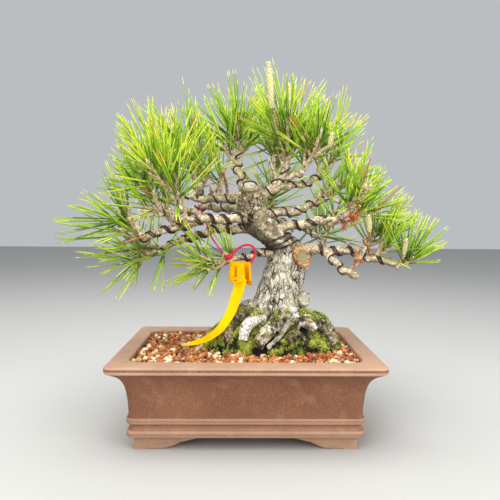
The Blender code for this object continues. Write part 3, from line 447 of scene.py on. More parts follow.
# Masses: limb that carries it, heart where its shoots fork, furthest tip, half angle of the fan, number of
# shoots and how wide they spread, its needles' length as a share of its reach, and its side of the crown
MASSES = {
    "needles_left_far": ("bough_left_long", (-111, -32, 212), (-186, -40, 222), 44, 7, 1.3, 1.12, "left"),
    "needles_left_low": ("bough_left_low", (-104, -18, 180), (-162, -26, 160), 44, 7, 1.3, 1.05, "left"),
    "needles_left_middle": ("bough_left_rise", (-94, -52, 238), (-132, -92, 276), 38, 7, 1.3, 0.80, "left"),
    "needles_left_outer": ("bough_left_outer", (-87, -9, 255), (-136, -14, 320), 40, 7, 1.3, 0.80, "left"),
    "needles_left_upper": ("bough_left_upper", (-54, 12, 268), (-74, 16, 354), 42, 9, 1.6, 0.80, "left"),
    "needles_left_front": ("bough_left_front", (-72, -70, 240), (-88, -157, 280), 40, 5, 1.3, 0.62, "left"),
    "needles_tag": ("bough_tag", (-29, -14, 170), (-86, -28, 154), 44, 7, 0.8, 0.80, "left"),
    "needles_apex_left": ("bough_apex_left", (-12, 10, 296), (-10, 14, 364), 42, 9, 1.9, 0.80, "top"),
    "needles_apex": ("bough_apex", (42, 0, 288), (18, -6, 377), 42, 8, 1.3, 0.80, "top"),
    "needles_apex_right": ("bough_apex_twig", (66, -14, 276), (84, -26, 336), 38, 7, 1.3, 0.80, "top"),
    "needles_right_upper": ("bough_apex_right", (90, 14, 278), (123, 18, 344), 42, 5, 1.3, 0.80, "top"),
    "needles_right_top": ("bough_right_upper", (98, 2, 252), (152, 4, 276), 40, 5, 1.3, 0.80, "right"),
    "needles_right_middle": ("bough_right_main", (110, -20, 219), (162, -34, 247), 40, 6, 1.3, 0.80, "right"),
    "needles_right_low": ("bough_right_rise", (129, 2, 193), (198, 6, 225), 38, 6, 1.3, 0.72, "right"),
    "needles_right_far": ("bough_right_low", (157, -19, 171), (206, -24, 194), 46, 7, 1.0, 1.0, "right"),
    "needles_back_right": ("bough_back_right", (96, 80, 194), (146, 150, 206), 52, 7, 1.3, 0.80, "back"),
    "needles_back_middle": ("bough_back_middle", (32, 90, 235), (42, 157, 268), 52, 7, 1.3, 0.80, "back"),
    "needles_back_left": ("bough_back_left", (-92, 76, 226), (-204, 92, 242), 46, 7, 1.3, 0.80, "back"),
    "needles_back_top": ("bough_back_top", (30, 48, 292), (36, 98, 352), 50, 7, 1.3, 0.80, "top"),
    "needles_front_right": ("bough_front_right", (94, -64, 224), (114, -157, 252), 40, 3, 1.3, 0.58, "right"),
}
CROWN_SIDES = ("left", "top", "right", "back")
CROWN_LOW = np.array([-204, -157, 118])
CROWN_HIGH = np.array([206, 157, 377])
CROWN_SKIN = 0.6

# Boxes of low and high corner that needles keep out of: the window before the trunk, and the label's place
WINDOW = np.array([(-34, -400, 0), (70, -14, 232)])
WINDOW_FREE = "needles_tag"
LABEL_BOX = np.array([(-23, -400, 120), (70, -14, 178)])

# Dome that the tips of the needles make: height, left and right end; it narrows towards front and back
DOME = (
    (110, -140, 40), (151, -156, 60), (170, -178, 196), (188, -204, 206), (216, -204, 206), (232, -188, 190),
    (246, -160, 164), (262, -147, 146), (285, -142, 136), (310, -135, 130), (330, -124, 118), (345, -98, 104),
    (358, -70, 76), (368, -10, 60), (378, 5, 46),
)
DOME_FLOOR = 135
DOME_DEPTH = 150
DOME_LEAST = 0.70

# Room of the needles, then the shoots of a mass
SPACE_SHARED = 16
LIMB_CLEAR = 1.2
FREE_LENGTH = 14
CLEAR_STRIDE = 4
CLEAR_STEP = 4
CLEAR_SAMPLES = 8
CLEAR_ACROSS = (-0.5, 0.0, 0.5)
CLEAR_DEPTH = 0.9
SHORTENED = (1.0, 0.86, 0.72)
FRONT_SHARE = 0.70
SHOOT_SHARE = 0.40
SHOOT_VARIES = (0.30, 1.10)
SHOOT_RISE = 0.22
SHOOT_BACK = (8, 36)
SHOOT_NEAR = (0, 4)
SHOOT_SAG = (0.5, 2.5)
SHOOT_BEND = (0, 2)
SIDE_SHOOTS = {
    "needles_left_upper": (
        ((-41, 1, 250), (-33, -13, 276)), ((-28, 1, 246), (-26, -10, 262)), ((-50, 6, 252), (-52, -10, 268)),
        ((-36, 4, 249), (-22, 10, 270)),
    ),
    "needles_apex_left": (((-8, 8, 270), (-25, -6, 286)), ((-9, 8, 278), (-28, 4, 296))),
    "needles_left_middle": (
        ((-72, -38, 224), (-78, -50, 240)), ((-80, -43, 227), (-94, -38, 246)),
        ((-62, -32, 219), (-62, -46, 236)),
    ),
    "needles_left_outer": (((-66, -2, 249), (-70, -14, 264)), ((-74, -4, 250), (-92, -10, 262))),
    "needles_left_low": (((-92, -14, 180), (-108, -26, 168)),),
    "needles_left_far": (((-98, -30, 198), (-122, -36, 198)),),
    "needles_left_front": (((-71, -68, 238), (-82, -108, 258)),),
    "needles_apex": (((36, -2, 276), (25, -22, 312)), ((42, -2, 282), (40, -26, 308))),
    "needles_front_right": (((93, -62, 222), (102, -106, 240)),),
}

# Needles: pairs on a shoot, where they sit on it, how they lean, vary and bend, then widths and colours
PAIRS = (5, 9)
NEEDLE_DRAWS = 7
NEEDLE_BED = (0.30, 0.98)
NEEDLE_LEAN = (80, 22)
LEAN_POWER = 0.8
LEAN_VARIES = (0.75, 1.2)
TURN_VARIES = 0.8
NEEDLE_VARIES = (0.80, 1.06)
NEEDLE_RISE = 0.20
NEEDLE_HUG = 0.05
NEEDLE_WANDER = 0.16
PAIR_SPLIT = (0.6, 3.2)
PAIR_TWIST = 0.4
PAIR_APART = 0.5
PAIR_BOW = 0.01
NEEDLE_ROWS = (0.0, 0.35, 0.70, 0.90, 1.0)
NEEDLE_WIDTHS = (0.96, 1.38, 1.30, 0.94)
NEEDLE_CORNERS = ((-0.5, -0.25), (0.5, -0.25), (0.0, 0.5))
BLADE_ASKEW = np.array([0.21, 0.13, 0.97])
NEEDLE_GRAIN = 0.3
NEEDLE_DEPTH = 0.02
NEEDLE_COLOURS = (
    ("needle_deep", (98, 141, 22), 0.42), ("needle_mid", (154, 193, 36), 0.40),
    ("needle_bright", (209, 231, 66), 0.40), ("needle_yellow", (238, 218, 44), 0.42),
    ("needle_ochre", (222, 160, 66), 0.50), ("needle_dead", (196, 110, 64), 0.60),
)

# Tones of a spray: colour slot of each stretch of its needles from their feet, how often each row is drawn,
# then the shares of odd, dead and burnt needles, and the slots of the last two
TONES = ((0, 0, 1, 1), (0, 1, 1, 2), (1, 1, 2, 2), (1, 2, 2, 3), (0, 1, 2, 3))
TONE_SHARES = (3, 4, 4, 2, 2)
ODD_SHARE = 0.35
DEAD_SHARE = 0.008
BURNT_SHARE = 0.03
DEAD_TONE = 5
BURNT_TONE = 4

# Twigs with their scales, then buds and candles: foot, tip and radius; knots of dead scales: middle, reach
# and count; then the colour slot of each kind of scale
TWIG_RADII = (1.7, 1.2)
TWIG_SIDES = 8
TWIG_ROUGH = 0.4
TWIG_BARE = 0.25
TWIG_COLOURS = ("twig_bark", (134, 100, 62), (204, 172, 124), (246, 226, 186))
BRACTS = 40
BRACT_LENGTH = 2.4
BRACT_PROUD = (0.25, 0.7)
BRACT_WIDE = 0.32
BRACT_THICK = 0.28
BRACT_SEAT = 0.85
BRACT_STRAY = 0.5
BUD_LENGTHS = (5, 9)
BUD_RADII = (1.3, 1.9)
CANDLE_BRACTS = 2.6
CANDLE_STEP = 1.2
CANDLE_SIDES = 10
CANDLE_SHAPE = ((0.0, 0.12, 0.45, 0.8, 0.95, 1.0), (0.55, 0.8, 1.0, 0.72, 0.4, 0.12))
CANDLES = {
    "needles_apex": (((24, -28, 322), (20, -34, 366), 3.2), ((41, -34, 316), (39, -40, 344), 2.9)),
    "needles_apex_right": (((80, -34, 285), (82, -40, 298), 2.3),),
    "needles_right_low": (((121, -32, 202), (119, -36, 219), 2.7),),
    "needles_right_far": (((157, -28, 179), (158, -32, 196), 2.3),),
}
DEAD_TUFTS = (
    ((98, -60, 214), 10, 60), ((91, -58, 208), 7, 34), ((105, -44, 219), 6, 24), ((112, -34, 172), 6, 20),
)
DEAD_WIDE = 0.7
DEAD_THICK = 0.8
DEAD_FOOT = (0.0, 0.5)
DEAD_RUN = (0.3, 0.7)
TWIG_SLOT = 0
CANDLE_SLOT = 1
DEAD_SLOT = 2
SCALE_COLOURS = (
    ("scale_cream", (222, 204, 168), 0.7), ("candle_cream", (224, 214, 164), 0.65),
    ("scale_rust", (206, 104, 66), 0.8),
)

# Label: places and widths along its loop, tail and pointed end, and the slits cut in the loop: left, right,
# and the shares of its width between which it is cut, left of LABEL_FRONT and before it; then its tie:
# places and radii
LABEL_THICK = 0.9
LABEL_ACROSS = (0.10, 0.0, 1.0)
TAIL_ACROSS = (1.0, -0.25, 0.1)
LABEL_LOOP = (
    (-2, -29, 161, 19), (-9, -31, 160.5, 20), (-15, -28, 161, 20), (-17, -23, 161.5, 19),
    (-13, -18.5, 162, 18.5), (-6, -17, 162, 18), (1, -18.5, 161.5, 18), (4, -22.5, 161, 17.5),
    (3, -26, 161, 17.5),
)
LABEL_CUTS = ((-11.8, -9.6, -0.22, 0.34), (-11.6, -9.8, -0.42, -0.34))
LABEL_FRONT = (-5, -24)
LABEL_TAIL = (
    (-5, -27, 155, 11.5), (-6.5, -27.5, 150.5, 11.8), (-8, -28, 143, 11.4), (-11.3, -29, 133, 10.8),
    (-14.6, -31, 123.4, 10), (-19.7, -33, 113.8, 9), (-27, -34, 104, 8), (-40, -32.5, 94.5, 6),
    (-52, -30, 90, 4.2), (-63, -28, 87, 0.8),
)
LABEL_POINT = ((-1, -22, 156, 7), (2, -23, 151, 6), (5.5, -24, 147, 1.2))
LABEL_SOFT_ANGLE = 45
LABEL_STEP = 0.5
TAIL_STEP = 1.5
LABEL_SHINE = {"Specular IOR Level": 0.08}
LABEL_COLOURS = (
    ("label_yellow", (240, 188, 0), (252, 206, 0)), ("label_amber", (236, 172, 0), (248, 192, 2)),
    ("label_shade", (206, 118, 0), (222, 132, 0)),
)
TIE_RUNS = (
    ((-27, -18, 183, 0.8), (-21, -20, 176, 0.9), (-16, -21, 177, 1.2), (-9, -22, 184, 1.2),
     (-2, -22, 187.5, 1.2), (5, -22, 187, 1.2), (8.2, -21, 182, 1.2), (7.2, -21, 175, 1.2),
     (3.5, -22, 168.5, 1.2)),
    ((-50, -6, 228.7, 0.7), (-42, -12, 211, 0.8), (-36, -16, 196, 0.8), (-27, -18, 183, 0.8)),
    ((-21, -18, 173, 1.8), (-17.5, -21, 175.5, 2.8), (-14, -22, 178.5, 1.7)),
)
TIE_SIDES = 10
TIE_COLOURS = ("tie_soft", (192, 16, 54), (216, 28, 70))

# Floor, lights and camera, in metres, with linear colours; a light's row has its place, target, size, power
# and colour. The focal length and half image are in pixels; the turn is yaw, pitch and roll in degrees
FLOOR_HALF = 4.0
FLOOR_COLOUR = (0.46, 0.46, 0.45, 1.0)
FLOOR_ROUGH = 0.85
WORLD_COLOUR = (0.90, 0.93, 0.97, 1.0)
WORLD_STRENGTH = 0.55
LIGHTS = (
    ("overhead", (-0.1, -0.15, 1.35), (0.0, 0.0, 0.1), 1.3, 26.0, (1.0, 0.99, 0.96)),
    ("key", (-0.6, -1.0, 0.75), (0.0, 0.0, 0.16), 0.8, 7.2, (1.0, 0.98, 0.94)),
    ("fill", (0.9, -0.8, 0.5), (0.0, 0.0, 0.16), 0.9, 9.2, (1.0, 0.98, 0.95)),
)
IMAGE_HALF = 250
FOCAL_PIXELS = 520
CAMERA_PLACE = (-0.004, -0.544, 0.209)
CAMERA_TURN = (-0.81, -2.88, 0.38)


def mm(*values):
    return np.array(values, dtype=float)


def draw_vector(rng, spans):
    return mm(*(rng.uniform(*span) for span in spans))


def unit(vector):
    vector = np.asarray(vector, dtype=float)
    return vector / np.linalg.norm(vector, axis=-1, keepdims=True)


def mix(low, high, share):
    return low + (high - low) * share


def gate(name, value):
    """Smooth share from 0 to 1 as a value passes through one of the GATES."""
    low, high = GATES[name]
    share = np.clip((value - low) / (high - low), 0.0, 1.0)
    return share * share * (3.0 - 2.0 * share)


# Noise in space, for relief and for the colours that follow it

def lattice(places, seed):
    """Fixed random number from 0 to 1 for each whole-number point of space."""
    whole = places.astype(np.int64)
    value = whole[..., 0] * 374761393 + whole[..., 1] * 668265263 + whole[..., 2] * 2246822519
    value = (value + seed * 3266489917) & 0xFFFFFFFF
    value = ((value ^ (value >> 15)) * 2246822519) & 0xFFFFFFFF
    value = ((value ^ (value >> 13)) * 3266489917) & 0xFFFFFFFF
    return ((value ^ (value >> 16)) & 0xFFFFFF) / 0xFFFFFF


def value_noise(points, size, seed):
    """Smooth noise from 0 to 1 whose lumps are about a size across."""
    scaled = points / size
    base = np.floor(scaled)
    share = scaled - base
    share = share * share * (3.0 - 2.0 * share)
    total = np.zeros(len(points))
    for corner in range(8):
        offset = np.array([corner & 1, corner >> 1 & 1, corner >> 2 & 1])
        weight = np.prod(np.where(offset == 1, share, 1.0 - share), axis=1)
        total += weight * lattice(base + offset, seed)
    return total


def fractal(points, size, octaves, seed):
    total = np.zeros(len(points))
    reach = 0.0
    for octave in range(octaves):
        weight = 0.5 ** octave
        total += weight * value_noise(points, size * weight, seed + octave)
        reach += weight
    return total / reach


def noise(name, points):
    """One of the NOISES, from 0 to 1, at each point."""
    return fractal(points, *NOISES[name])


def cells(points, size, seed):
    """Distance to the edge of scattered cells, in sizes, and a random number for each cell."""
    scaled = points / size
    base = np.floor(scaled)
    nearest = np.full(len(points), np.inf)
    second = np.full(len(points), np.inf)
    owner = np.zeros(len(points))
    for step in range(27):
        cell = base + np.array([step % 3 - 1, step // 3 % 3 - 1, step // 9 - 1])
        spot = cell + np.stack([lattice(cell, seed + axis) for axis in range(3)], axis=1)
        gap = np.linalg.norm(scaled - spot, axis=1)
        closer = gap < nearest
        second = np.where(closer, nearest, np.minimum(second, gap))
        owner = np.where(closer, lattice(cell, seed + 3), owner)
        nearest = np.where(closer, gap, nearest)
    return second - nearest, owner


# Meshes

def mesh_points(item):
    points = np.zeros(len(item.data.vertices) * 3)
    item.data.vertices.foreach_get("co", points)
    return points.reshape(-1, 3) / MM


def mesh_normals(item):
    normals = np.zeros(len(item.data.vertices) * 3)
    item.data.vertex_normals.foreach_get("vector", normals)
    return normals.reshape(-1, 3)


def set_points(item, points):
    item.data.vertices.foreach_set("co", (points * MM).astype(np.float32).ravel())
    item.data.update()


def set_value(item, name, values):
    """Write one number a point, which the material reads by its name."""
    attribute = item.data.attributes.new(name, "FLOAT", "POINT")
    attribute.data.foreach_set("value", np.asarray(values, dtype=np.float32))


def place(item, slot, *nodes):
    """Attach a finished piece to the object, in the place of the nodes it stands for."""
    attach(item, "root")
    if nodes:
        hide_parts(*nodes)
    return item


def remesh(item, voxel, softening):
    """Fuse what overlaps in a mesh into one skin of even faces."""
    skin = item.modifiers.new("skin", "REMESH")
    skin.mode = "VOXEL"
    skin.voxel_size = voxel * MM
    skin.use_smooth_shade = True
    soften = item.modifiers.new("soften", "SMOOTH")
    soften.factor = 0.5
    soften.iterations = softening
    graph = bpy.context.evaluated_depsgraph_get()
    mesh = bpy.data.meshes.new_from_object(item.evaluated_get(graph))
    item.modifiers.clear()
    item.data = mesh
    item.data.shade_smooth()


def tube_faces(rows, columns):
    """Faces of a closed tube of rings: its quads, then both end caps as fans of triangles."""
    index = np.arange(rows * columns).reshape(rows, columns)
    ahead = np.roll(index, -1, axis=1)
    quads = np.stack([index[:-1], ahead[:-1], ahead[1:], index[1:]], axis=-1).reshape(-1, 4)
    low = np.stack([np.full(columns - 2, index[0, 0]), index[0, 2:], index[0, 1:-1]], axis=1)
    high = np.stack([np.full(columns - 2, index[-1, 0]), index[-1, 1:-1], index[-1, 2:]], axis=1)
    return quads, np.concatenate([low, high])


def sheet_faces(rows, columns):
    """Faces of an open sheet of points in rows and columns."""
    index = np.arange(rows * columns).reshape(rows, columns)
    return np.stack([index[:-1, :-1], index[:-1, 1:], index[1:, 1:], index[1:, :-1]], axis=-1).reshape(-1, 4)


def ring_angles(count):
    return CIRCLE * np.arange(count) / count


def read_rows(rows, places, run=None):
    """Rows read between those of a table, at places counted in rows or measured along a run."""
    run = np.arange(len(rows)) if run is None else run
    return np.stack([np.interp(places, run, column) for column in rows.T], axis=-1)


def smooth_path(points, step):
    """Rows at even steps along a smooth curve through the given ones, whose places are their first three."""
    points = np.asarray(points, dtype=float)
    padded = np.concatenate([[2 * points[0] - points[1]], points, [2 * points[-1] - points[-2]]])
    t = np.linspace(0.0, 1.0, CURVE_STEPS, endpoint=False)[:, None]
    fine = []
    for a, b, c, d in zip(padded, padded[1:], padded[2:], padded[3:]):
        square = 2 * a - 5 * b + 4 * c - d
        cube = 3 * b - a - 3 * c + d
        fine.append(0.5 * (2 * b + (c - a) * t + square * t ** 2 + cube * t ** 3))
    fine = np.concatenate([*fine, points[-1:]])
    run = np.concatenate([[0.0], np.cumsum(np.linalg.norm(np.diff(fine[:, :3], axis=0), axis=1))])
    count = max(2, int(run[-1] / step) + 1)
    return read_rows(fine, np.linspace(0.0, run[-1], count), run)


def path_frames(line):
    """Side and lift of a line at each of its points, carried along without twist."""
    ways = unit(np.gradient(line, axis=0))
    side = np.cross(UP, ways[0])
    if np.linalg.norm(side) < 0.1:
        side = mm(1, 0, 0)
    sides = []
    for way in ways:
        side = unit(side - way * np.dot(side, way))
        sides.append(side)
    sides = np.array(sides)
    return sides, np.cross(ways, sides)


def tube_points(line, radii, sides):
    """Rings round a line: an array of rows, columns and three coordinates."""
    side, lift = path_frames(line)
    angles = ring_angles(sides)
    around = side[:, None] * np.cos(angles)[None, :, None] + lift[:, None] * np.sin(angles)[None, :, None]
    return line[:, None] + around * radii[:, None, None]


class MeshParts:
    """Gathers many small meshes, in millimetres, to join into one piece."""

    def __init__(self):
        self.verts = []
        self.faces = {4: [], 3: []}
        self.slots = {4: [], 3: []}
        self.count = 0

    def add(self, verts, groups, slot=0):
        """Add points with their quads and triangles, in one colour slot or with a slot for each face."""
        for index, group in enumerate(groups):
            corners = group.shape[1]
            self.faces[corners].append(group + self.count)
            self.slots[corners].append(np.full(len(group), slot) if np.isscalar(slot) else slot[index])
        self.verts.append(np.reshape(verts, (-1, 3)))
        self.count += len(self.verts[-1])

    def tube(self, line, radii, sides, slot=0):
        self.add(tube_points(line, radii, sides), tube_faces(len(line), sides), slot)

    def piece(self, name, materials, smooth=True):
        """Mesh object of all that was added, with its quads before its triangles."""
        kinds = [corners for corners in (4, 3) if self.faces[corners]]
        faces = [np.concatenate(self.faces[corners]) for corners in kinds]
        slots = np.concatenate([group for corners in kinds for group in self.slots[corners]])
        sizes = np.repeat(kinds, [len(group) for group in faces])
        corners = np.concatenate([group.ravel() for group in faces])
        verts = np.concatenate(self.verts)
        mesh = bpy.data.meshes.new(name)
        mesh.vertices.add(len(verts))
        mesh.vertices.foreach_set("co", (verts * MM).astype(np.float32).ravel())
        mesh.loops.add(len(corners))
        mesh.loops.foreach_set("vertex_index", corners.astype(np.int32))
        mesh.polygons.add(len(sizes))
        mesh.polygons.foreach_set("loop_start", (np.cumsum(sizes) - sizes).astype(np.int32))
        mesh.polygons.foreach_set("material_index", slots.astype(np.int32))
        mesh.polygons.foreach_set("use_smooth", np.full(len(sizes), smooth))
        for material in materials:
            mesh.materials.append(material)
        mesh.update(calc_edges=True)
        mesh.validate()
        item = bpy.data.objects.new(name, mesh)
        bpy.context.scene.collection.objects.link(item)
        return item


# Materials

def screen(red, green, blue):
    """Linear colour of an 8-bit screen colour."""
    shares = np.array([red, green, blue]) / 255.0
    linear = np.where(shares <= 0.04045, shares / 12.92, ((shares + 0.055) / 1.055) ** 2.4)
    return (*(float(value) for value in linear), 1.0)


class Shade:
    """A Principled material, with short ways to add nodes to it. Sizes are in millimetres."""

    def __init__(self, name, colour, roughness, **sockets):
        self.material = bpy.data.materials.new(name)
        self.material.use_nodes = True
        self.tree = self.material.node_tree
        self.shader = self.tree.nodes["Principled BSDF"]
        self.feed(self.shader, {"Base Color": colour, "Roughness": roughness, **sockets})

    def feed(self, node, inputs):
        """Link each input to another node's output, or set it to a constant."""
        for socket, value in inputs.items():
            if isinstance(value, bpy.types.NodeSocket):
                self.tree.links.new(value, node.inputs[socket])
            else:
                node.inputs[socket].default_value = value

    def node(self, kind, output, inputs, **settings):
        """Add a node with its settings and inputs, and give one of its outputs."""
        node = self.tree.nodes.new("ShaderNode" + kind)
        for setting, value in settings.items():
            setattr(node, setting, value)
        self.feed(node, inputs)
        return node.outputs[output]

    def spot(self, stretch):
        """Place on the object, squeezed by a share along each axis."""
        spot = self.node("TexCoord", "Object", {})
        return self.node("Mapping", "Vector", {"Vector": spot, "Scale": stretch})

    def noise(self, size, detail=3, stretch=EVEN):
        inputs = {"Vector": self.spot(stretch), "Scale": 1.0 / (size * MM), "Detail": detail}
        return self.node("TexNoise", "Fac", inputs)

    def cells(self, size, warp, stretch=EVEN):
        """Distance to the edge of uneven cells, and a random colour for each cell."""
        spot = self.spot(stretch)
        shift = self.node("TexNoise", "Color", {"Vector": spot, "Scale": 0.6 / (size * MM), "Detail": 3})
        reach = (warp * MM, warp * MM, warp * MM)
        moved = self.node("VectorMath", "Vector", {0: shift, 1: reach, 2: spot}, operation="MULTIPLY_ADD")
        inputs = {"Vector": moved, "Scale": 1.0 / (size * MM)}
        edge = self.node("TexVoronoi", "Distance", inputs, feature="DISTANCE_TO_EDGE")
        return edge, self.node("TexVoronoi", "Color", inputs, feature="F1")

    def value(self, name):
        """Number that set_value wrote on the mesh."""
        return self.node("Attribute", "Fac", {}, attribute_name=name)

    def ramp(self, value, *stops):
        """Colour by a value, between stops with a position and a screen colour each."""
        stops = [(position, screen(*colour)) for position, *colour in stops]
        node = self.tree.nodes.new("ShaderNodeValToRGB")
        elements = node.color_ramp.elements
        elements[0].position, elements[0].color = stops[0]
        elements[1].position, elements[1].color = stops[-1]
        for position, colour in stops[1:-1]:
            elements.new(position).color = colour
        self.feed(node, {"Fac": value})
        return node.outputs["Color"]

    def fade(self, value, low, high):
        """Share from 0 to 1 as a value passes from low to high."""
        return self.node("MapRange", "Result", {"Value": value, "From Min": low, "From Max": high})

    def math(self, operation, first, second):
        return self.node("Math", "Value", {0: first, 1: second}, operation=operation)

    def times(self, first, second):
        return self.math("MULTIPLY", first, second)

    def most(self, first, second):
        return self.math("MAXIMUM", first, second)

    def mix(self, share, low, high):
        return self.node("Mix", 2, {0: share, 6: low, 7: high}, data_type="RGBA")

    def finish(self, colour, height, distance, strength=1.0):
        """Give the shader its colour and a bump of a distance, and return the material."""
        inputs = {"Distance": distance * MM, "Strength": strength, "Height": height}
        self.feed(self.shader, {"Base Color": colour, "Normal": self.node("Bump", "Normal", inputs)})
        return self.material


def clay_material():
    shade = Shade("unglazed_clay", screen(130, 81, 57), 0.72)
    cloud = shade.ramp(shade.noise(46, 4), (0.30, 108, 63, 40), (0.52, 125, 77, 51), (0.75, 146, 95, 65))
    grain = shade.noise(1.1, 5)
    speckle = shade.ramp(grain, (0.34, 98, 59, 40), (0.50, 128, 80, 55), (0.68, 166, 118, 88))
    smudge = shade.times(shade.fade(shade.noise(19, 5), 0.56, 0.74), 0.28)
    smudged = shade.mix(smudge, shade.mix(0.5, cloud, speckle), screen(188, 148, 114))
    # Wear and painted highlight: lighter on the lip's top and raised edges, as if lit from above, and dusty
    # low down
    worn_and_lit = shade.mix(shade.times(shade.value("wear_and_highlight"), 0.85), smudged, screen(222, 187, 158))
    shade.feed(shade.shader, {"Roughness": shade.fade(shade.noise(7), -0.9, 1.35)})
    return shade.finish(worn_and_lit, shade.math("ADD", grain, shade.noise(5)), 0.28, 0.7)


def soil_material():
    shade = Shade("soil_between_grains", screen(70, 38, 26), 0.95)
    colour = shade.ramp(shade.noise(3, 5), (0.35, 34, 18, 12), (0.65, 112, 58, 38))
    return shade.finish(colour, shade.noise(1.6, 4), 0.8)


def grain_material(name, dark, light):
    shade = Shade(name, screen(*light), 0.92)
    colour = shade.ramp(shade.noise(1.5, 4), (0.36, *dark), (0.62, *light))
    return shade.finish(colour, shade.noise(0.5), 0.25)


def moss_material():
    """Dark earth in the hollows, green to yellow on the cushions."""
    shade = Shade("moss_cushion", screen(92, 94, 36), 0.95)
    tuft = shade.noise(1.5, 4)
    spot = shade.math("ADD", shade.value("swell"), shade.times(shade.math("SUBTRACT", tuft, 0.5), 1.6))
    green = shade.ramp(spot, (0.15, 16, 15, 9), (0.42, 62, 60, 26), (0.65, 128, 130, 46),
                       (0.95, 196, 196, 82))
    return shade.finish(green, tuft, 1.2)


def bark_material():
    """Flaky grey-white plates with thin dark fissures, browner up the neck and mossy at the roots; the same
    dark colour paints shade under the bend and between the knobs.
    """
    shade = Shade("pine_bark", screen(190, 182, 158), 0.9)
    tall = (1.0, 1.0, 0.36)
    edge, plate = shade.cells(5.2, 3.4, tall)
    thin_edge, flake = shade.cells(2.3, 1.6, (1.0, 1.0, 0.55))
    fine = shade.noise(1.4, 5, tall)
    plates = shade.ramp(plate, (0.10, 154, 142, 112), (0.35, 208, 201, 174), (0.65, 240, 237, 216),
                        (0.95, 196, 172, 132))
    flakes = shade.ramp(flake, (0.15, 142, 128, 100), (0.45, 216, 210, 186), (0.80, 250, 248, 234))
    grain = shade.ramp(fine, (0.34, 96, 84, 62), (0.50, 206, 198, 172), (0.66, 250, 247, 232))
    flaky = shade.mix(0.4, shade.mix(0.5, plates, flakes), grain)
    neck_edge, scale = shade.cells(3.4, 2.6)
    brown_plates = shade.ramp(scale, (0.15, 112, 84, 52), (0.50, 190, 160, 114), (0.85, 242, 224, 182))
    brown_grain = shade.ramp(shade.noise(2.2, 5), (0.40, 58, 42, 26), (0.50, 190, 160, 114),
                             (0.60, 250, 234, 196))
    toned = shade.mix(shade.value("brown"), flaky, shade.mix(0.5, brown_plates, brown_grain))
    crust = shade.ramp(fine, (0.30, 196, 188, 164), (0.42, 242, 238, 222), (0.58, 255, 254, 247))
    crusted = shade.mix(shade.value("lichen"), toned, crust)
    green = shade.ramp(shade.noise(1.6, 4), (0.36, 26, 26, 12), (0.50, 96, 98, 36), (0.66, 170, 172, 64))
    mossy = shade.mix(shade.value("moss"), crusted, green)
    strong = shade.fade(shade.noise(8, 3, tall), 0.36, 0.56)
    line = shade.times(shade.fade(edge, 0.13, 0.03), strong)
    hair = shade.times(shade.fade(thin_edge, 0.12, 0.02), shade.fade(shade.noise(6), 0.44, 0.60))
    lines = shade.most(line, shade.times(hair, 0.85))
    covered = shade.times(shade.most(shade.value("lichen"), shade.value("brown")), 0.92)
    bare_lines = shade.times(lines, shade.math("SUBTRACT", 1.0, covered))
    neck_lines = shade.times(shade.fade(neck_edge, 0.14, 0.02), shade.times(shade.value("brown"), strong))
    # Fissures, and the painted shade that the mesh carries with them, take the darkest colour
    cracks_and_shade = shade.most(shade.value("crack_and_shade"), shade.most(neck_lines, bare_lines))
    relief = shade.math("ADD", fine, shade.math("SUBTRACT", 1.0, lines))
    return shade.finish(shade.mix(cracks_and_shade, mossy, screen(40, 33, 24)), relief, 0.9, 0.9)


def limb_material(name, dark, middle, light):
    """Light scaly bark with fine dark furrows between its scales; where the mesh carries painted shade, as on
    the undersides of the boughs, it takes the same dark colour.
    """
    shade = Shade(name, screen(*middle), 0.86)
    fine = shade.noise(2.6, 4)
    edge, scale = shade.cells(3.4, 2.2)
    skin = shade.ramp(fine, (0.30, *dark), (0.46, *middle), (0.64, *light))
    scales = shade.ramp(scale, (0.05, *dark), (0.30, *middle), (0.75, *light))
    crease = shade.times(shade.fade(edge, 0.14, 0.02), shade.fade(shade.noise(5), 0.40, 0.58))
    # Furrows, and painted shade on the undersides of the boughs, take the dark colour
    creases_and_shade = shade.most(shade.value("crack_and_shade"), shade.times(crease, 0.8))
    colour = shade.mix(creases_and_shade, shade.mix(0.5, skin, scales), screen(62, 46, 34))
    return shade.finish(colour, shade.math("SUBTRACT", fine, crease), 0.6, 0.9)


def plain_materials(rows, grain=1.2, depth=0.05):
    """Materials of one colour each, by name, colour and roughness, with a fine grain in their bump."""
    materials = []
    for name, colour, roughness in rows:
        shade = Shade(name, screen(*colour), roughness)
        materials.append(shade.finish(screen(*colour), shade.noise(grain, 2), depth, 0.5))
    return materials


def wood_material(name, dark, light):
    """Sawn wood: growth rings by the distance that each point holds, with fine checks."""
    shade = Shade(name, screen(*light), 0.8)
    spread = shade.math("ADD", shade.value("ring"), shade.noise(4, 2))
    wave = shade.node("Math", "Value", {0: shade.times(spread, 5.0)}, operation="SINE")
    rings = shade.mix(shade.fade(wave, -1.0, 1.0), screen(*light), screen(*dark))
    fine = shade.noise(1.2, 4)
    return shade.finish(shade.mix(shade.fade(fine, 0.50, 0.72), rings, screen(*dark)), fine, 0.4, 0.8)


def wire_material():
    shade = Shade("annealed_wire", screen(62, 44, 38), 0.40, Metallic=0.35)
    colour = shade.ramp(shade.noise(6), (0.35, 36, 25, 23), (0.60, 82, 58, 50))
    return shade.finish(colour, shade.noise(0.8, 2), 0.05, 0.4)


def strip_material(name, dull, bright, **sockets):
    """Soft thin plastic whose colour clouds a little along its length."""
    shade = Shade(name, screen(*bright), 0.6, **sockets)
    colour = shade.ramp(shade.noise(16), (0.35, *dull), (0.60, *bright))
    return shade.finish(colour, shade.noise(3), 0.06, 0.5)


# Pot

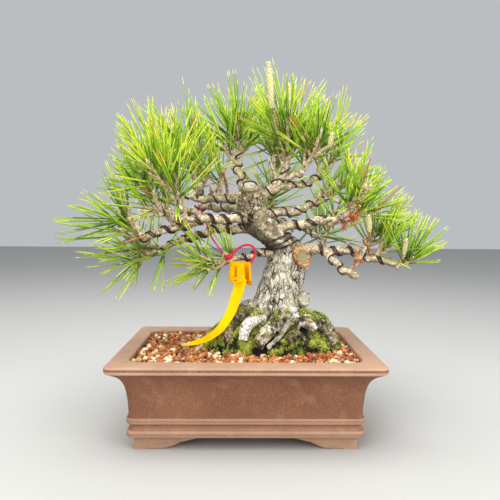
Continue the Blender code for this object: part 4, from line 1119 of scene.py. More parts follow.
def rectangle_ring(half_x, half_y, corner, height):
    """Ring of a rectangle with round corners, with points along its straight sides too."""
    arcs = []
    for quarter, (sign_x, sign_y) in enumerate(((1, -1), (1, 1), (-1, 1), (-1, -1))):
        angles = np.radians(90.0 * (quarter - 1 + np.arange(POT_CORNER_STEPS + 1) / POT_CORNER_STEPS))
        x = sign_x * (half_x - corner) + corner * np.cos(angles)
        y = sign_y * (half_y - corner) + corner * np.sin(angles)
        arcs.append(np.stack([x, y], axis=1))
    shares = np.linspace(0.0, 1.0, POT_SIDE_STEPS + 1)[1:-1, None]
    ring = []
    for arc, following in zip(arcs, arcs[1:] + arcs[:1]):
        ring += [arc, mix(arc[-1], following[0], shares)]
    ring = np.concatenate(ring)
    return np.column_stack([ring, np.full(len(ring), height)])


def outer_ring(height, inset):
    return rectangle_ring(POT_HALF[0] - inset, POT_HALF[1] - inset, POT_CORNER, height)


def lip_rings():
    """Rings over the lip: a small round at its outer edge, a flat, then a round at the mouth."""
    angles = np.linspace(0.0, math.pi / 2.0, LIP_STEPS)
    heights = POT_TOP - LIP_ROUND + LIP_ROUND * np.sin(angles)
    insets = LIP_ROUND * (1.0 - np.cos(angles))
    mouth_x, mouth_y = POT_INNER[0][1:]
    rings = [outer_ring(height, inset) for height, inset in zip(heights, insets)]
    for height, inset in zip(heights[::-1], insets[::-1]):
        rings.append(rectangle_ring(mouth_x + inset, mouth_y + inset, POT_INNER_CORNER, height))
    return rings


def ring_wear_and_highlight(profile, count):
    """Wear and painted highlight of each ring: the lip and raised edges are rubbed pale and also painted
    lighter as if lit from above; dusty at the foot, none inside.
    """
    heights, insets = profile.T
    edges = gate("worn_and_highlit_edge", np.gradient(np.gradient(insets)))
    edges *= mix(BELT_WEAR_AND_HIGHLIGHT, 1.0, gate("above_belts", heights))
    wear_and_highlight = np.full(count, LIP_WEAR_AND_HIGHLIGHT)
    wear_and_highlight[:len(profile)] = np.maximum(edges, BELT_DUST * gate("below_belts", heights))
    wear_and_highlight[1 - len(POT_INNER):] = 0.0
    return wear_and_highlight


def make_pot():
    """Rectangular pot: one skin from its base up, over the lip and down to the soil."""
    profile = smooth_path([(height, inset, 0.0) for height, inset in POT_OUTER], POT_PROFILE_STEP)[:-1, :2]
    rings = [outer_ring(height, inset) for height, inset in profile] + lip_rings()
    for height, half_x, half_y in POT_INNER[1:]:
        rings.append(rectangle_ring(half_x, half_y, POT_INNER_CORNER, height))
    rings = np.array(rings)
    parts = MeshParts()
    parts.add(rings, tube_faces(*rings.shape[:2]))
    body_count = parts.count
    for sign_x in (-1, 1):
        for sign_y in (-1, 1):
            for along_x in (True, False):
                add_foot(parts, along_x, sign_x, sign_y)
    pot = parts.piece("pot_clay", [clay_material()])
    points = mesh_points(pot)
    waves = (noise("pot_waves", points) - 0.5) * POT_WAVES
    outward = unit(points * mm(1, 1, 0) + mm(0, 0.001, 0))
    points += outward * waves[:, None] * gate("pot_waves", points[:, 2])[:, None]
    set_points(pot, points)
    # Pale value of each point: rubbed pale and painted highlight on the lip and raised edges, dust low down
    # and on the feet
    wear_and_highlight = np.full(len(points), FOOT_DUST)
    wear_and_highlight[:body_count] = np.repeat(ring_wear_and_highlight(profile, len(rings)), rings.shape[1])
    set_value(pot, "wear_and_highlight", wear_and_highlight * mix(*WEAR_AND_HIGHLIGHT_VARIES, noise("pot_wear_and_highlight", points)))
    pot.data.set_sharp_from_angle(angle=math.radians(POT_SOFT_ANGLE))
    return place(pot, "clay", "pot")


def foot_outline():
    """Half of an apron: a flat foot, then an ogee that rises to the base of the pot."""
    share = np.arange(OGEE_STEPS + 1) / OGEE_STEPS
    heights = (share - np.sin(CIRCLE * share) * OGEE_BEND) * OGEE_RISE
    ogee = np.stack([FOOT_FLAT + (FOOT_LENGTH - FOOT_FLAT) * share, heights], axis=1)
    return np.concatenate([[(0.0, FOOT_SUNK), (0.0, 0.0)], ogee, [(FOOT_LENGTH, FOOT_SUNK)]])


def add_foot(parts, along_x, sign_x, sign_y):
    """One apron of a corner foot, with its front edges rounded off."""
    outline = foot_outline()
    middle = mm(FOOT_LENGTH / 2.0, FOOT_SUNK / 2.0)
    corner = mm(sign_x * (POT_HALF[0] - FOOT_INSET), sign_y * (POT_HALF[1] - FOOT_INSET), 0)
    ways = [mm(-sign_x, 0, 0), mm(0, -sign_y, 0)]
    along, inward = ways if along_x else ways[::-1]
    rings = []
    for depth, shrink in FOOT_EDGE:
        shape = outline - np.sign(outline - middle) * shrink * (outline[:, :1] < FOOT_LENGTH)
        shape[:, 1] = np.maximum(shape[:, 1], shrink)
        rings.append(corner + along * shape[:, :1] + UP * shape[:, 1:] + inward * depth)
    rings = np.array(rings)
    layers, count = rings.shape[:2]
    quads = tube_faces(layers, count)[0]
    if (sign_x * sign_y > 0) != along_x:
        quads = quads[:, ::-1]
    around = np.arange(2, count + 1) % count
    front = np.stack([np.full(count - 2, 1), around[:-1], around[1:]], axis=1)
    back = front[:, ::-1] + count * (layers - 1)
    parts.add(rings, [quads, np.concatenate([front, back])])


# Soil, its grains, and moss

def pot_inside(height):
    """Half sizes of the pot's inside at a height."""
    for (top, top_x, top_y), (low, low_x, low_y) in zip(POT_INNER, POT_INNER[1:]):
        if height >= low:
            share = (height - low) / (top - low)
            return mix(low_x, top_x, share), mix(low_y, top_y, share)
    return POT_INNER[-1][1:]


def ground_noise(name, x, y):
    """Noise about 0 over the ground."""
    points = np.stack([x, y, np.zeros_like(x)], axis=-1).reshape(-1, 3)
    return noise(name, points).reshape(np.shape(x)) - 0.5


def soil_height(x, y):
    """Height of the soil, which rises a little towards the trunk."""
    slope = np.exp(-((x - MOUND_PLACE[0]) / SOIL_SLOPE[0]) ** 2 - (y / SOIL_SLOPE[1]) ** 2)
    return SOIL_LEVEL + SOIL_RISE * slope + ground_noise("soil_bumps", x, y) * SOIL_BUMPS


def bed_height(x, y):
    """Height of the mossy mound that the roots clasp."""
    gap = np.sqrt(((x - MOUND_PLACE[0]) / MOUND_HALF[0]) ** 2 + ((y - MOUND_PLACE[1]) / MOUND_HALF[1]) ** 2)
    gap += ground_noise("mound_edge", x, y) * MOUND_RAGGED
    swell = MOUND_RISE * np.sqrt(np.clip(1.0 - gap ** MOUND_POWER, 0.0, 1.0))
    return SOIL_LEVEL + swell - MOUND_DIP * gate("mound_edge", gap)


def moss_swell(points):
    """How far the cushions of moss swell or sink at each place."""
    return sum((fractal(points, size, 2, MOSS_SEED) - 0.5) * high for size, high in MOSS_LUMPS)


def make_soil():
    half_x, half_y = pot_inside(POT_TOP - SOIL_WALL_DEPTH)
    xs = np.linspace(-half_x, half_x, int(2 * half_x / SOIL_STEP))
    ys = np.linspace(-half_y, half_y, int(2 * half_y / SOIL_STEP))
    x, y = np.meshgrid(xs, ys)
    parts = MeshParts()
    parts.add(np.stack([x, y, soil_height(x, y)], axis=-1), [sheet_faces(*x.shape)])
    return place(parts.piece("soil_bed", [soil_material()]), "grit", "soil")


def pebble_shapes():
    """A few lumpy pebbles of one unit, to be turned and scaled for every grain, and their faces."""
    shape = bmesh.new()
    bmesh.ops.create_icosphere(shape, subdivisions=1, radius=1.0)
    shape.verts.index_update()
    points = np.array([vert.co[:] for vert in shape.verts])
    faces = np.array([[vert.index for vert in face.verts] for face in shape.faces])
    shape.free()
    shapes = []
    for number in range(PEBBLE_KINDS):
        lumps = mix(*PEBBLE_LUMPS, value_noise(points * 1.4 + 17.0 * number, 1.0, PEBBLE_SEED + number))
        shapes.append(points * lumps[:, None])
    return shapes, faces


def turn_matrix(rng):
    axis = Vector(draw_vector(rng, ANY_WAY)).normalized()
    return np.array(Matrix.Rotation(rng.uniform(0.0, CIRCLE), 3, axis))


def grain_spots(half_x, half_y, rng):
    """Scattered places in two layers: each an x, a y and its layer."""
    spots = []
    for layer, (spacing, _) in enumerate(GRAIN_LAYERS):
        for x in np.arange(-half_x + GRAIN_WALL, half_x - GRAIN_WALL, spacing):
            for y in np.arange(-half_y + GRAIN_WALL, half_y - GRAIN_WALL, spacing):
                across = x + rng.uniform(-0.5, 0.5) * spacing
                spots.append((across, y + rng.uniform(-0.5, 0.5) * spacing, layer))
    return np.array(spots)


def make_grains():
    """Red-brown volcanic grains with off-white pumice among them, strewn over the soil."""
    rng = random.Random("grains")
    shapes, faces = pebble_shapes()
    gathered = {LAVA[0]: MeshParts(), PUMICE[0]: MeshParts()}
    half_x, half_y = pot_inside(POT_TOP - SOIL_WALL_DEPTH)
    spots = grain_spots(half_x, half_y, rng)
    ground = soil_height(spots[:, 0], spots[:, 1])
    buried = bed_height(spots[:, 0], spots[:, 1]) - ground
    drift = value_noise(spots * mm(1, 1, 0), DRIFT_SIZE, DRIFT_SEED)
    for (x, y, layer), soil, depth, pale_here in zip(spots, ground, buried, drift):
        if abs(x) > half_x - GRAIN_WALL or abs(y) > half_y - GRAIN_WALL:
            continue
        if depth > MOSS_OVER or (depth > 0.0 and rng.random() < GRAIN_MOSSY):
            continue
        pale = rng.random() < mix(*PALE_SHARES, float(pale_here)) * (PALE_LEFT if x < 0 else PALE_RIGHT)
        if pale and layer:
            continue
        name, sizes, flat, colours = PUMICE if pale else LAVA
        size = rng.uniform(*sizes)
        squash = mm(1.0, *(rng.uniform(*span) for span in GRAIN_SQUASH)) * flat
        verts = (rng.choice(shapes) * squash * size) @ turn_matrix(rng).T
        slot = rng.choices(range(len(colours)), [row[-1] for row in colours])[0]
        gathered[name].add(verts + mm(x, y, soil + size * GRAIN_LAYERS[int(layer)][1]), [faces], slot)
    for name, _, _, colours in (LAVA, PUMICE):
        materials = [grain_material(*row[:-1]) for row in colours]
        place(gathered[name].piece(name, materials), "grit")


def make_moss_bed():
    """Mound of moss and earth between the roots, open to the grains round its foot."""
    low_x, high_x, low_y, high_y = BED_SPAN
    x, y = np.meshgrid(np.arange(low_x, high_x, BED_STEP), np.arange(low_y, high_y, BED_STEP))
    height = bed_height(x, y)
    slope_y, slope_x = np.gradient(height, BED_STEP)
    normals = unit(np.stack([-slope_x, -slope_y, np.ones_like(x)], axis=-1)).reshape(-1, 3)
    verts = np.stack([x, y, height], axis=-1).reshape(-1, 3)
    swell = moss_swell(verts)
    verts = verts + normals * swell[:, None]
    quads = sheet_faces(*x.shape)
    shown = verts[:, 2] > soil_height(x, y).ravel() - BED_SUNK
    quads = quads[shown[quads].any(axis=1)]
    used, packed = np.unique(quads, return_inverse=True)
    quads = packed.reshape(-1, 4)
    parts = MeshParts()
    parts.add(verts[used], [quads])
    bed = parts.piece("moss_bed", [moss_material()])
    set_value(bed, "swell", gate("moss_bed", swell[used]))
    place(bed, "moss", *MOSS_PADS)
    return verts[used], quads


def surface_spots(points, quads, count, rng):
    """Places spread evenly over a skin of quads, with the normal at each."""
    first, second, third, fourth = (points[quads[:, corner]] for corner in range(4))
    normals = np.cross(third - first, fourth - second)
    sizes = np.linalg.norm(normals, axis=1)
    face = rng.choice(len(quads), count, p=sizes / sizes.sum())
    u, v = rng.random((2, count, 1))
    spots = mix(mix(first[face], second[face], u), mix(fourth[face], third[face], u), v)
    return spots, unit(normals[face])


def mossy_spots(bed, trunk, faces, tree, rng):
    """Places and normals on the mound outside the trunk, then on the mossy parts of the roots."""
    spots, normals = surface_spots(*bed, TUFTS, rng)
    hits = [tree.find_nearest(Vector(spot)) for spot in spots]
    clear = [(Vector(spot) - hit[0]).dot(hit[1]) > 0.0 for spot, hit in zip(spots, hits)]
    mossy = np.zeros(len(trunk.data.vertices), dtype=np.float32)
    trunk.data.attributes["moss"].data.foreach_get("value", mossy)
    quads = np.array(faces)
    quads = quads[(mossy[quads].min(axis=1) > MOSSY_BARK)]
    bark_spots, bark_normals = surface_spots(mesh_points(trunk), quads, BARK_TUFTS, rng)
    return np.concatenate([spots[clear], bark_spots]), np.concatenate([normals[clear], bark_normals])


def make_moss_tufts(bed, trunk, faces, tree):
    """Tiny leaves of moss over the mound and over the mossy parts of the roots."""
    rng = np.random.default_rng(TUFT_SEED)
    spots, normals = mossy_spots(bed, trunk, faces, tree, rng)
    swell = moss_swell(spots)
    kept = (swell > MOSS_BARE) & (spots[:, 2] > TUFT_LOWEST)
    spots, normals, swell = spots[kept], normals[kept], swell[kept]
    count = len(spots)
    side = unit(np.cross(normals, rng.normal(size=(count, 3))))
    other = np.cross(normals, side)
    tall = mix(*TUFT_TALL, rng.random((count, 1)))
    way = unit(normals + TUFT_UP * UP + TUFT_STRAY * rng.normal(size=(count, 3)))
    corners = []
    for turn in TUFT_CORNERS:
        out = side * math.cos(turn) + other * math.sin(turn)
        corners.append(spots - normals * TUFT_SUNK + out * TUFT_WIDE)
    verts = np.stack([*corners, spots + way * tall], axis=1)
    faces = SPIKE_FACES[None] + 4 * np.arange(count)[:, None, None]
    patches = (noise("moss_tone", spots) - 0.5) * PATCH_TONE
    bright = SWELL_TONE * swell + patches + rng.normal(size=count) * TUFT_TONE
    bright += FRESH_TONE * gate("fresh_moss", spots[:, 0])
    slots = np.searchsorted(MOSS_TONES, bright)
    slots = np.where(rng.random(count) < DRY_SHARE, len(MOSS_TONES) + 1, slots)
    parts = MeshParts()
    parts.add(verts, [faces.reshape(-1, 3)], [np.repeat(slots, len(SPIKE_FACES))])
    return place(parts.piece("moss_tufts", plain_materials(MOSS_COLOURS)), "moss")


# Trunk, roots and scars

def trunk_core(parts):
    """Leaning trunk without its bark: rings of its width and depth at each height, a little lumpy."""
    height, left, right, depth = smooth_path(TRUNK, TRUNK_STEP).T[:, :, None]
    angles = ring_angles(TRUNK_SIDES)
    x = (left + right) / 2.0 + (right - left) / 2.0 * np.cos(angles)
    y = depth * np.sin(angles)
    rings = np.stack([x, y, np.broadcast_to(height, x.shape)], axis=-1)
    lumps = (noise("trunk_lumps", rings.reshape(-1, 3)) - 0.5).reshape(x.shape) * TRUNK_LUMPS
    rings[..., 0] += lumps * np.cos(angles)
    rings[..., 1] += lumps * np.sin(angles)
    parts.add(rings, tube_faces(*rings.shape[:2]))


def line_gaps(points, line):
    """How far each point lies outside a thick line of places and radii."""
    gaps = np.full(len(points), np.inf)
    for row in line:
        gaps = np.minimum(gaps, np.linalg.norm(points - row[:3], axis=1) - row[3])
    return gaps


def stretched(points):
    """Points squeezed in height below the neck, where the bark's plates are long."""
    tall = points[:, 2]
    squeezed = np.minimum(tall, NECK_HEIGHT) * BARK_STRETCH + np.maximum(tall - NECK_HEIGHT, 0.0)
    return np.column_stack([points[:, :2], squeezed])


def bark_cells(points, size, seed):
    """Uneven plates of bark: how far each point is out of a crack, and its plate's own random number."""
    for warp, reach in BARK_WARPS:
        shift = np.stack([fractal(points, warp, 2, seed + axis) - 0.5 for axis in range(3)], axis=1)
        points = points + shift * reach
    return cells(stretched(points), size, seed)


class Bark:
    """Pattern of the bark at each point of the trunk's skin, which its relief and its tones follow."""

    def __init__(self, points, lines):
        edge, self.owner = bark_cells(points, *PLATE_CELLS)
        thin_edge, self.chip = bark_cells(points, *FLAKE_CELLS)
        shallow = 1.0 - gate("shallow_cracks", noise("shallow_cracks", stretched(points)))
        self.plate = gate("plates", edge + PLATE_SHALLOW * shallow)
        self.flake = gate("flakes", thin_edge)
        self.rough = noise("rough", stretched(points)) - 0.5
        self.lump = noise("lumps", points) - 0.5
        self.gaps = {name: line_gaps(points, line) for name, line in lines.items()}
        scars = [np.linalg.norm(points - mm(*spot), axis=1) - reach for spot, reach in CALM_SPOTS]
        smooth = WHITE_CALM * gate("smooth_root", self.gaps["white"])
        self.calm = gate("off_scars", np.min(scars, axis=0)) * (1.0 - smooth)
        self.tall = points[:, 2]
        self.leaning = self.tall + NECK_LEAN * (points[:, 0] - NECK_MIDDLE)
        self.knobs = (noise("knobs", points) - 0.5) * gate("knobs", self.leaning)
        self.blotch = noise("blotches", points)
        self.spots = noise("spots", points)
        self.necks = gate("neck_cracks", noise("neck_cracks", points))
        self.hollows = gate("hollows", noise("hollows", points))

    def height(self):
        """How far each point stands out of the plain skin."""
        height = self.knobs * KNOB_HIGH
        height += self.plate * PLATE_HIGH
        height += (self.owner - 0.5) * PLATE_UNEVEN
        height += self.flake * FLAKE_HIGH
        height += (self.chip - 0.5) * FLAKE_UNEVEN
        height += self.rough * ROUGH_HIGH
        height += self.lump * LUMP_HIGH
        return (height - BARK_SUNK) * self.calm

    def near(self, shares):
        """Nearness to the nearest of some roots, each by its own share."""
        return np.max([gate("near_root", self.gaps[name]) * share for name, share in shares.items()], axis=0)

    def tones(self, up):
        """Brown, lichen, moss, and dark fissures with painted shade under the bend and between the knobs, at
        each point, as shares.
        """
        root_zone = gate("root_zone", self.tall + (self.blotch - 0.5) * ROOT_RAGGED)
        neck = gate("neck", self.leaning + (self.blotch - 0.5) * NECK_RAGGED)
        brown = neck * mix(*NECK_BROWN, self.spots) + root_zone * mix(*ROOT_BROWN, self.blotch)
        plates = gate("trunk_lichen", self.spots) * gate("lichen_plates", self.owner)
        lichen = np.max([
            gate("white_root", self.gaps["white"]) * gate("white_height", self.tall),
            self.near(PALE_LICHEN),
            self.near(ROOT_LICHEN) * gate("root_lichen", self.spots),
            plates * (1.0 - root_zone) * TRUNK_LICHEN,
        ], axis=0)
        facing_up = gate("facing_up", up + (self.blotch - 0.5) * MOSS_RAGGED)
        root_moss = self.near(ROOT_MOSS) * gate("root_moss", self.blotch)
        moss = np.maximum(root_zone * facing_up * (1.0 - lichen), root_moss)
        underside = gate("facing_down", up) * gate("above_bend", self.tall) * gate("below_tip", self.tall)
        lines = (1.0 - self.plate) * mix(*PLATE_CRACK, self.blotch) * (1.0 - LICHEN_COVER * lichen)
        # Dark fissures, with painted shade: darker on faces that look down under the bend and in the dips
        # between the knobs; the root zone is darker in patches
        crack_and_shade = np.max([
            np.minimum(lines + underside * BEND_SHADE, 1.0),
            neck * self.necks * NECK_CRACK,
            gate("between_knobs", self.knobs * KNOB_DEEP) * KNOB_SHADE,
            root_zone * (1.0 - lichen) * mix(*HOLLOW_DARK, self.hollows),
        ], axis=0)
        return {"brown": np.minimum(brown, 1.0), "lichen": lichen, "moss": moss, "crack_and_shade": crack_and_shade * self.calm}


def make_trunk():
    """Trunk and roots fused into one skin, with its bark in relief."""
    parts = MeshParts()
    trunk_core(parts)
    lines = {name: smooth_path(points, ROOT_STEP) for name, points in ROOTS.items()}
    for line in lines.values():
        parts.tube(line[:, :3], line[:, 3], ROOT_SIDES)
    trunk = parts.piece("trunk_bark", [bark_material()])
    remesh(trunk, TRUNK_VOXEL, TRUNK_SOFTENING)
    points = mesh_points(trunk)
    normals = mesh_normals(trunk)
    bark = Bark(points, lines)
    set_points(trunk, points + normals * bark.height()[:, None])
    for name, values in bark.tones(normals[:, 2]).items():
        set_value(trunk, name, values)
    return place(trunk, "bark", "trunk")


def add_scar(parts, middle, normal, radii, tilt, profile, seed):
    """Round scar, by the rings of its profile. Gives each point's distance from its middle."""
    normal = unit(normal)
    side = unit(np.cross(UP, normal))
    side = side * math.cos(math.radians(tilt)) + np.cross(normal, side) * math.sin(math.radians(tilt))
    lift = np.cross(normal, side)
    angles = ring_angles(SCAR_SIDES)
    around = side * np.cos(angles)[:, None] * radii[0] + lift * np.sin(angles)[:, None] * radii[1]
    shares, heights, slots = np.array(profile).T
    rings = mm(*middle) + around * shares[:, None, None] + normal * heights[:, None, None]
    flat = rings.reshape(-1, 3)
    wobble = sum((fractal(flat, size, 2, seed + shift) - 0.5) * high for size, high, shift in SCAR_WOBBLES)
    rings += normal * wobble.reshape(len(rings), -1, 1)
    face_slots = [np.repeat(slots[:-1], SCAR_SIDES), np.repeat([0, 1], SCAR_SIDES - 2)]
    parts.add(rings, tube_faces(len(rings), SCAR_SIDES), face_slots)
    return np.repeat(shares, SCAR_SIDES) * max(radii)


def make_scars():
    """Sawn scar on the tip, healed scar at the right, and the sawn round root."""
    # Painted shade: a dark band in the dip round the sawn tip's wood
    groove_shade = plain_materials([GROOVE_SHADE])[0]
    for name, nodes, middle, normal, radii, tilt, profile, seed, wood, callus in SCARS:
        parts = MeshParts()
        rings = add_scar(parts, middle, normal, radii, tilt, profile, seed)
        materials = [wood_material(*wood), limb_material(*callus), groove_shade]
        scar = parts.piece(name, materials[:1 + max(slot for _, _, slot in profile)])
        set_value(scar, "ring", rings)
        place(scar, "cut_wood", *nodes)


# Boughs and their wires

def limb_paths():
    """Centre line and radii of every limb, worked out from the table by the source's rule."""
    paths = {}
    share = np.linspace(0.0, 1.0, LIMB_POINTS)[:, None]
    arch = np.sin(math.pi * share)
    for name, (parent, start, tip, bow, *radii) in LIMBS.items():
        if parent == "trunk":
            begin = mm(*start)
        else:
            begin = read_rows(paths[parent][:, :3], start * (LIMB_POINTS - 1))
        end = mm(*tip)
        line = unit(end - begin)
        side = unit(np.cross(line, UP))
        lift = np.cross(side, line)
        turn = CIRCLE * LIMB_KINKS * share + len(paths)
        kink = (side * np.cos(turn) + lift * np.sin(turn)) * LIMB_KINK * arch
        points = mix(begin, end, share) + mm(*bow) * arch + kink
        paths[name] = np.column_stack([points, mix(*radii, share)])
    return paths


def bough_lines(paths):
    """Every bough as one fine line of places and radii, with the stem of its mass carried on from its tip."""
    stems = {limb: heart for limb, heart, *_ in MASSES.values()}
    lines = {}
    for name, path in paths.items():
        if name in stems:
            outward = unit(path[-1, :3] - path[-2, :3])
            knee = np.append(path[-1, :3] + outward * STEM_STRAIGHT, path[-1, 3])
            path = np.vstack([path, knee, (*stems[name], STEM_RADIUS)])
        lines[name] = smooth_path(path, LIMB_STEP)
    return lines


def add_limb(parts, line, radii, sides, seed, rough=1.0, slot=0):
    """Tube of a limb, knobbly with old knots and cracked bark."""
    flat = tube_points(line, radii, sides).reshape(-1, 3)
    out = unit(flat - np.repeat(line, sides, axis=0))
    knots = gate("limb_knots", value_noise(flat, KNOT_SIZE, seed)) * KNOT_HIGH
    grain = fractal(flat, GRAIN_SIZE, 3, seed + 3) - 0.5
    swell = (knots + grain * GRAIN_HIGH) * rough
    parts.add(flat + out * swell[:, None], tube_faces(len(line), sides), slot)


def add_spur(parts, spot, way, rng):
    """Short scarred stub where an old twig was taken off."""
    out = unit(np.cross(way, unit(draw_vector(rng, SPUR_WAY))))
    length = spot[3] + rng.uniform(*SPUR_LENGTHS)
    shares = np.linspace(SPUR_FOOT, 1.0, SPUR_POINTS)[:, None]
    path = spot[:3] + (out + way * SPUR_LEAN * shares) * length * shares
    thick, least, most = SPUR_RADII
    radii = np.linspace(thick, rng.uniform(least, most), SPUR_POINTS)
    add_limb(parts, path, radii, SPUR_SIDES, rng.randrange(SEEDS), SPUR_ROUGH)


def make_boughs(lines):
    """Boughs and stems with their spurs, bare stubs and dead twigs."""
    rng = random.Random("spurs")
    parts = MeshParts()
    for number, line in enumerate(lines.values()):
        run = np.arange(len(line)) * LIMB_STEP
        collar = 1.0 + COLLAR_SWELL * np.exp(-run / COLLAR_LENGTH)
        add_limb(parts, line[:, :3], line[:, 3] * collar, LIMB_SIDES, LIMB_SEED + number)
        for index in range(int(SPUR_FROM / LIMB_STEP), len(line) - SPUR_STRAY, int(SPUR_SPACING / LIMB_STEP)):
            spot = line[min(index + rng.randrange(SPUR_STRAY), len(line) - 2)]
            add_spur(parts, spot, unit(line[index + 1, :3] - line[index, :3]), rng)
    for name, share, offset, radius in STUBS:
        line = lines[name]
        start = line[int(share * (len(line) - 1)), :3]
        tip = start + mm(*offset)
        middle = mix(start, tip, 0.5) + draw_vector(rng, STUB_BOW)
        path = smooth_path([start, middle, tip], FINE_STEP)
        radii = np.linspace(radius * STUB_SWELL, radius, len(path))
        add_limb(parts, path, radii, STUB_SIDES, rng.randrange(SEEDS), STUB_ROUGH, int(radius <= DEAD_RADIUS))
    boughs = parts.piece("boughs_bark", [limb_material(*row) for row in BOUGH_COLOURS])
    points = mesh_points(boughs)
    edge, _ = cells(points, SCALE_SIZE, SCALE_SEED)
    crack_and_shade = (1.0 - gate("limb_edges", edge)) * gate("limb_cracks", noise("limb_cracks", points))
    # Painted shade: faces of the boughs that look down are painted darker, kept in one value with the
    # fissures
    down = mesh_normals(boughs)[:, 2] + (noise("limb_shade", points) - 0.5) * LIMB_RAGGED
    set_value(boughs, "crack_and_shade", np.maximum(crack_and_shade * LIMB_CRACK, gate("limb_beneath", down) * LIMB_SHADE))
    return place(boughs, "bough_bark", *LIMBS)


def coil_line(line, start, end, pitch, phase):
    """Line of a wire wound at a pitch round part of a limb, pressed on its bark."""
    run = np.arange(len(line)) * LIMB_STEP
    low, high = start * run[-1], end * run[-1]
    places = np.linspace(low, high, int((high - low) / pitch * WIRE_POINTS))
    fine = read_rows(line, places, run)
    side, lift = path_frames(fine[:, :3])
    angle = CIRCLE * (places - low) / pitch + phase
    out = side * np.cos(angle)[:, None] + lift * np.sin(angle)[:, None]
    return fine[:, :3] + out * (fine[:, 3] + WIRE_RADIUS * WIRE_PRESSED)[:, None]


def trunk_loop(tree, low, high, first, last):
    """Line of a wire laid on the trunk's own surface, found by casting rays at its middle."""
    points = []
    rows = smooth_path(TRUNK, FINE_STEP)
    for share in np.linspace(0.0, 1.0, TRUNK_WIRE_STEPS):
        angle = math.radians(mix(first, last, share))
        height = mix(low, high, share) + TRUNK_WIRE_TILT * math.cos(angle)
        row = rows[np.argmin(np.abs(rows[:, 0] - height))]
        middle = mm((row[1] + row[2]) / 2.0, 0.0, height)
        out = mm(math.cos(angle), math.sin(angle), 0.0)
        hit = tree.ray_cast(Vector(middle + out * RAY_FROM), Vector(-out))[0]
        points.append(np.array(hit if hit is not None else middle) + out * WIRE_RADIUS * TRUNK_WIRE_PRESSED)
    points = np.array(points)
    for _ in range(TRUNK_WIRE_SOFTENING):
        points[1:-1] = (points[:-2] + 2.0 * points[1:-1] + points[2:]) / 4.0
    return points


def make_wires(lines, tree):
    """Training wire: single and double coils on the boughs, and loops round the trunk's neck."""
    coils = []
    for name, start, end, pitch, strands, phase in WIRES:
        for strand in range(strands):
            gap = CIRCLE * strand * WIRE_GAP / pitch
            coils.append(coil_line(lines[name], start, end, pitch, phase - gap))
    coils += [trunk_loop(tree, *row) for row in TRUNK_WIRES]
    parts = MeshParts()
    for coil in coils:
        parts.tube(coil, np.full(len(coil), WIRE_RADIUS), WIRE_SIDES)
    wires = parts.piece("wires_wound", [wire_material()])
    return place(wires, "wire", *sorted(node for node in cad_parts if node.startswith("wire_")))


# Twigs, needles and candles

def under_dome(tips):
    """True for each tip that stays inside the crown's dome."""
    heights, lefts, rights = np.array(DOME).T
    x, y, z = tips.T
    narrow = np.maximum(np.sqrt(np.maximum(1.0 - (y / DOME_DEPTH) ** 2, 0.0)), DOME_LEAST)
    inside = (x > np.interp(z, heights, lefts) * narrow) & (x < np.interp(z, heights, rights) * narrow)
    return inside & (z > DOME_FLOOR)


class NeedleSpace:
    """Says which needles keep inside the crown, out of the window before the trunk and clear of the limbs."""

    def __init__(self, lines):
        self.names = list(MASSES)
        self.hearts = np.array([row[1] for row in MASSES.values()], dtype=float)
        spots = [line[::CLEAR_STRIDE] for line in lines.values()]
        height, left, right, depth = smooth_path(TRUNK, CLEAR_STEP).T
        for across in CLEAR_ACROSS:
            x = (left + right) / 2.0 + across * (right - left) / 2.0
            spots.append(np.column_stack([x, np.zeros(len(x)), height, depth * CLEAR_DEPTH]))
        self.spots = np.concatenate(spots)

    def own_space(self, name, samples):
        """True for each needle that reaches no further towards another mass than the space they share."""
        own = self.names.index(name)
        apart = np.linalg.norm(self.hearts - self.hearts[own], axis=1)
        apart[own] = 1.0
        squares = ((samples[:, :, None] - self.hearts) ** 2).sum(axis=3)
        depth = (squares - squares[:, :, own:own + 1]) / (2.0 * apart)
        return (depth > -SPACE_SHARED).all(axis=(0, 2))

    def clears_limbs(self, samples):
        """True for each needle that touches no limb beyond its own root."""
        clear = np.full(samples.shape[1], True)
        for sample in samples[1:]:
            gaps = np.linalg.norm(sample[:, None] - self.spots[None, :, :3], axis=2) - self.spots[:, 3]
            near_root = np.linalg.norm(sample - samples[0], axis=1) < FREE_LENGTH
            clear &= (gaps.min(axis=1) > LIMB_CLEAR) | near_root
        return clear

    def keeps(self, name, roots, tips):
        """True for each needle that stays in its mass's own space."""
        shares = np.linspace(0.0, 1.0, CLEAR_SAMPLES)[:, None, None]
        samples = roots[None] + (tips - roots)[None] * shares
        inside = ((samples > CROWN_LOW + CROWN_SKIN) & (samples < CROWN_HIGH - CROWN_SKIN)).all(axis=(0, 2))
        boxes = [LABEL_BOX] if name == WINDOW_FREE else [LABEL_BOX, WINDOW]
        for low, high in boxes:
            inside &= ~((samples > low) & (samples < high)).all(axis=2).any(axis=0)
        return inside & under_dome(samples[-1]) & self.own_space(name, samples) & self.clears_limbs(samples)

    def room(self, name, roots, runs):
        """Share of its length that each needle keeps, or 0 where it has no room."""
        shares = np.zeros(len(roots))
        for share in SHORTENED:
            fits = self.keeps(name, roots, roots + runs * share)
            shares[(shares == 0.0) & fits] = share
        return shares


def leaning(axis, lean, turn):
    """Directions that lean away from an axis by some angles, turned round it by others."""
    side = np.array(Vector(axis).orthogonal().normalized())
    other = np.cross(axis, side)
    out = side * np.cos(turn)[:, None] + other * np.sin(turn)[:, None]
    return axis * np.cos(lean)[:, None] + out * np.sin(lean)[:, None]


def front_share(name):
    """How narrow a mass grows: less wide where it comes to the front."""
    return FRONT_SHARE if "front" in name else 1.0


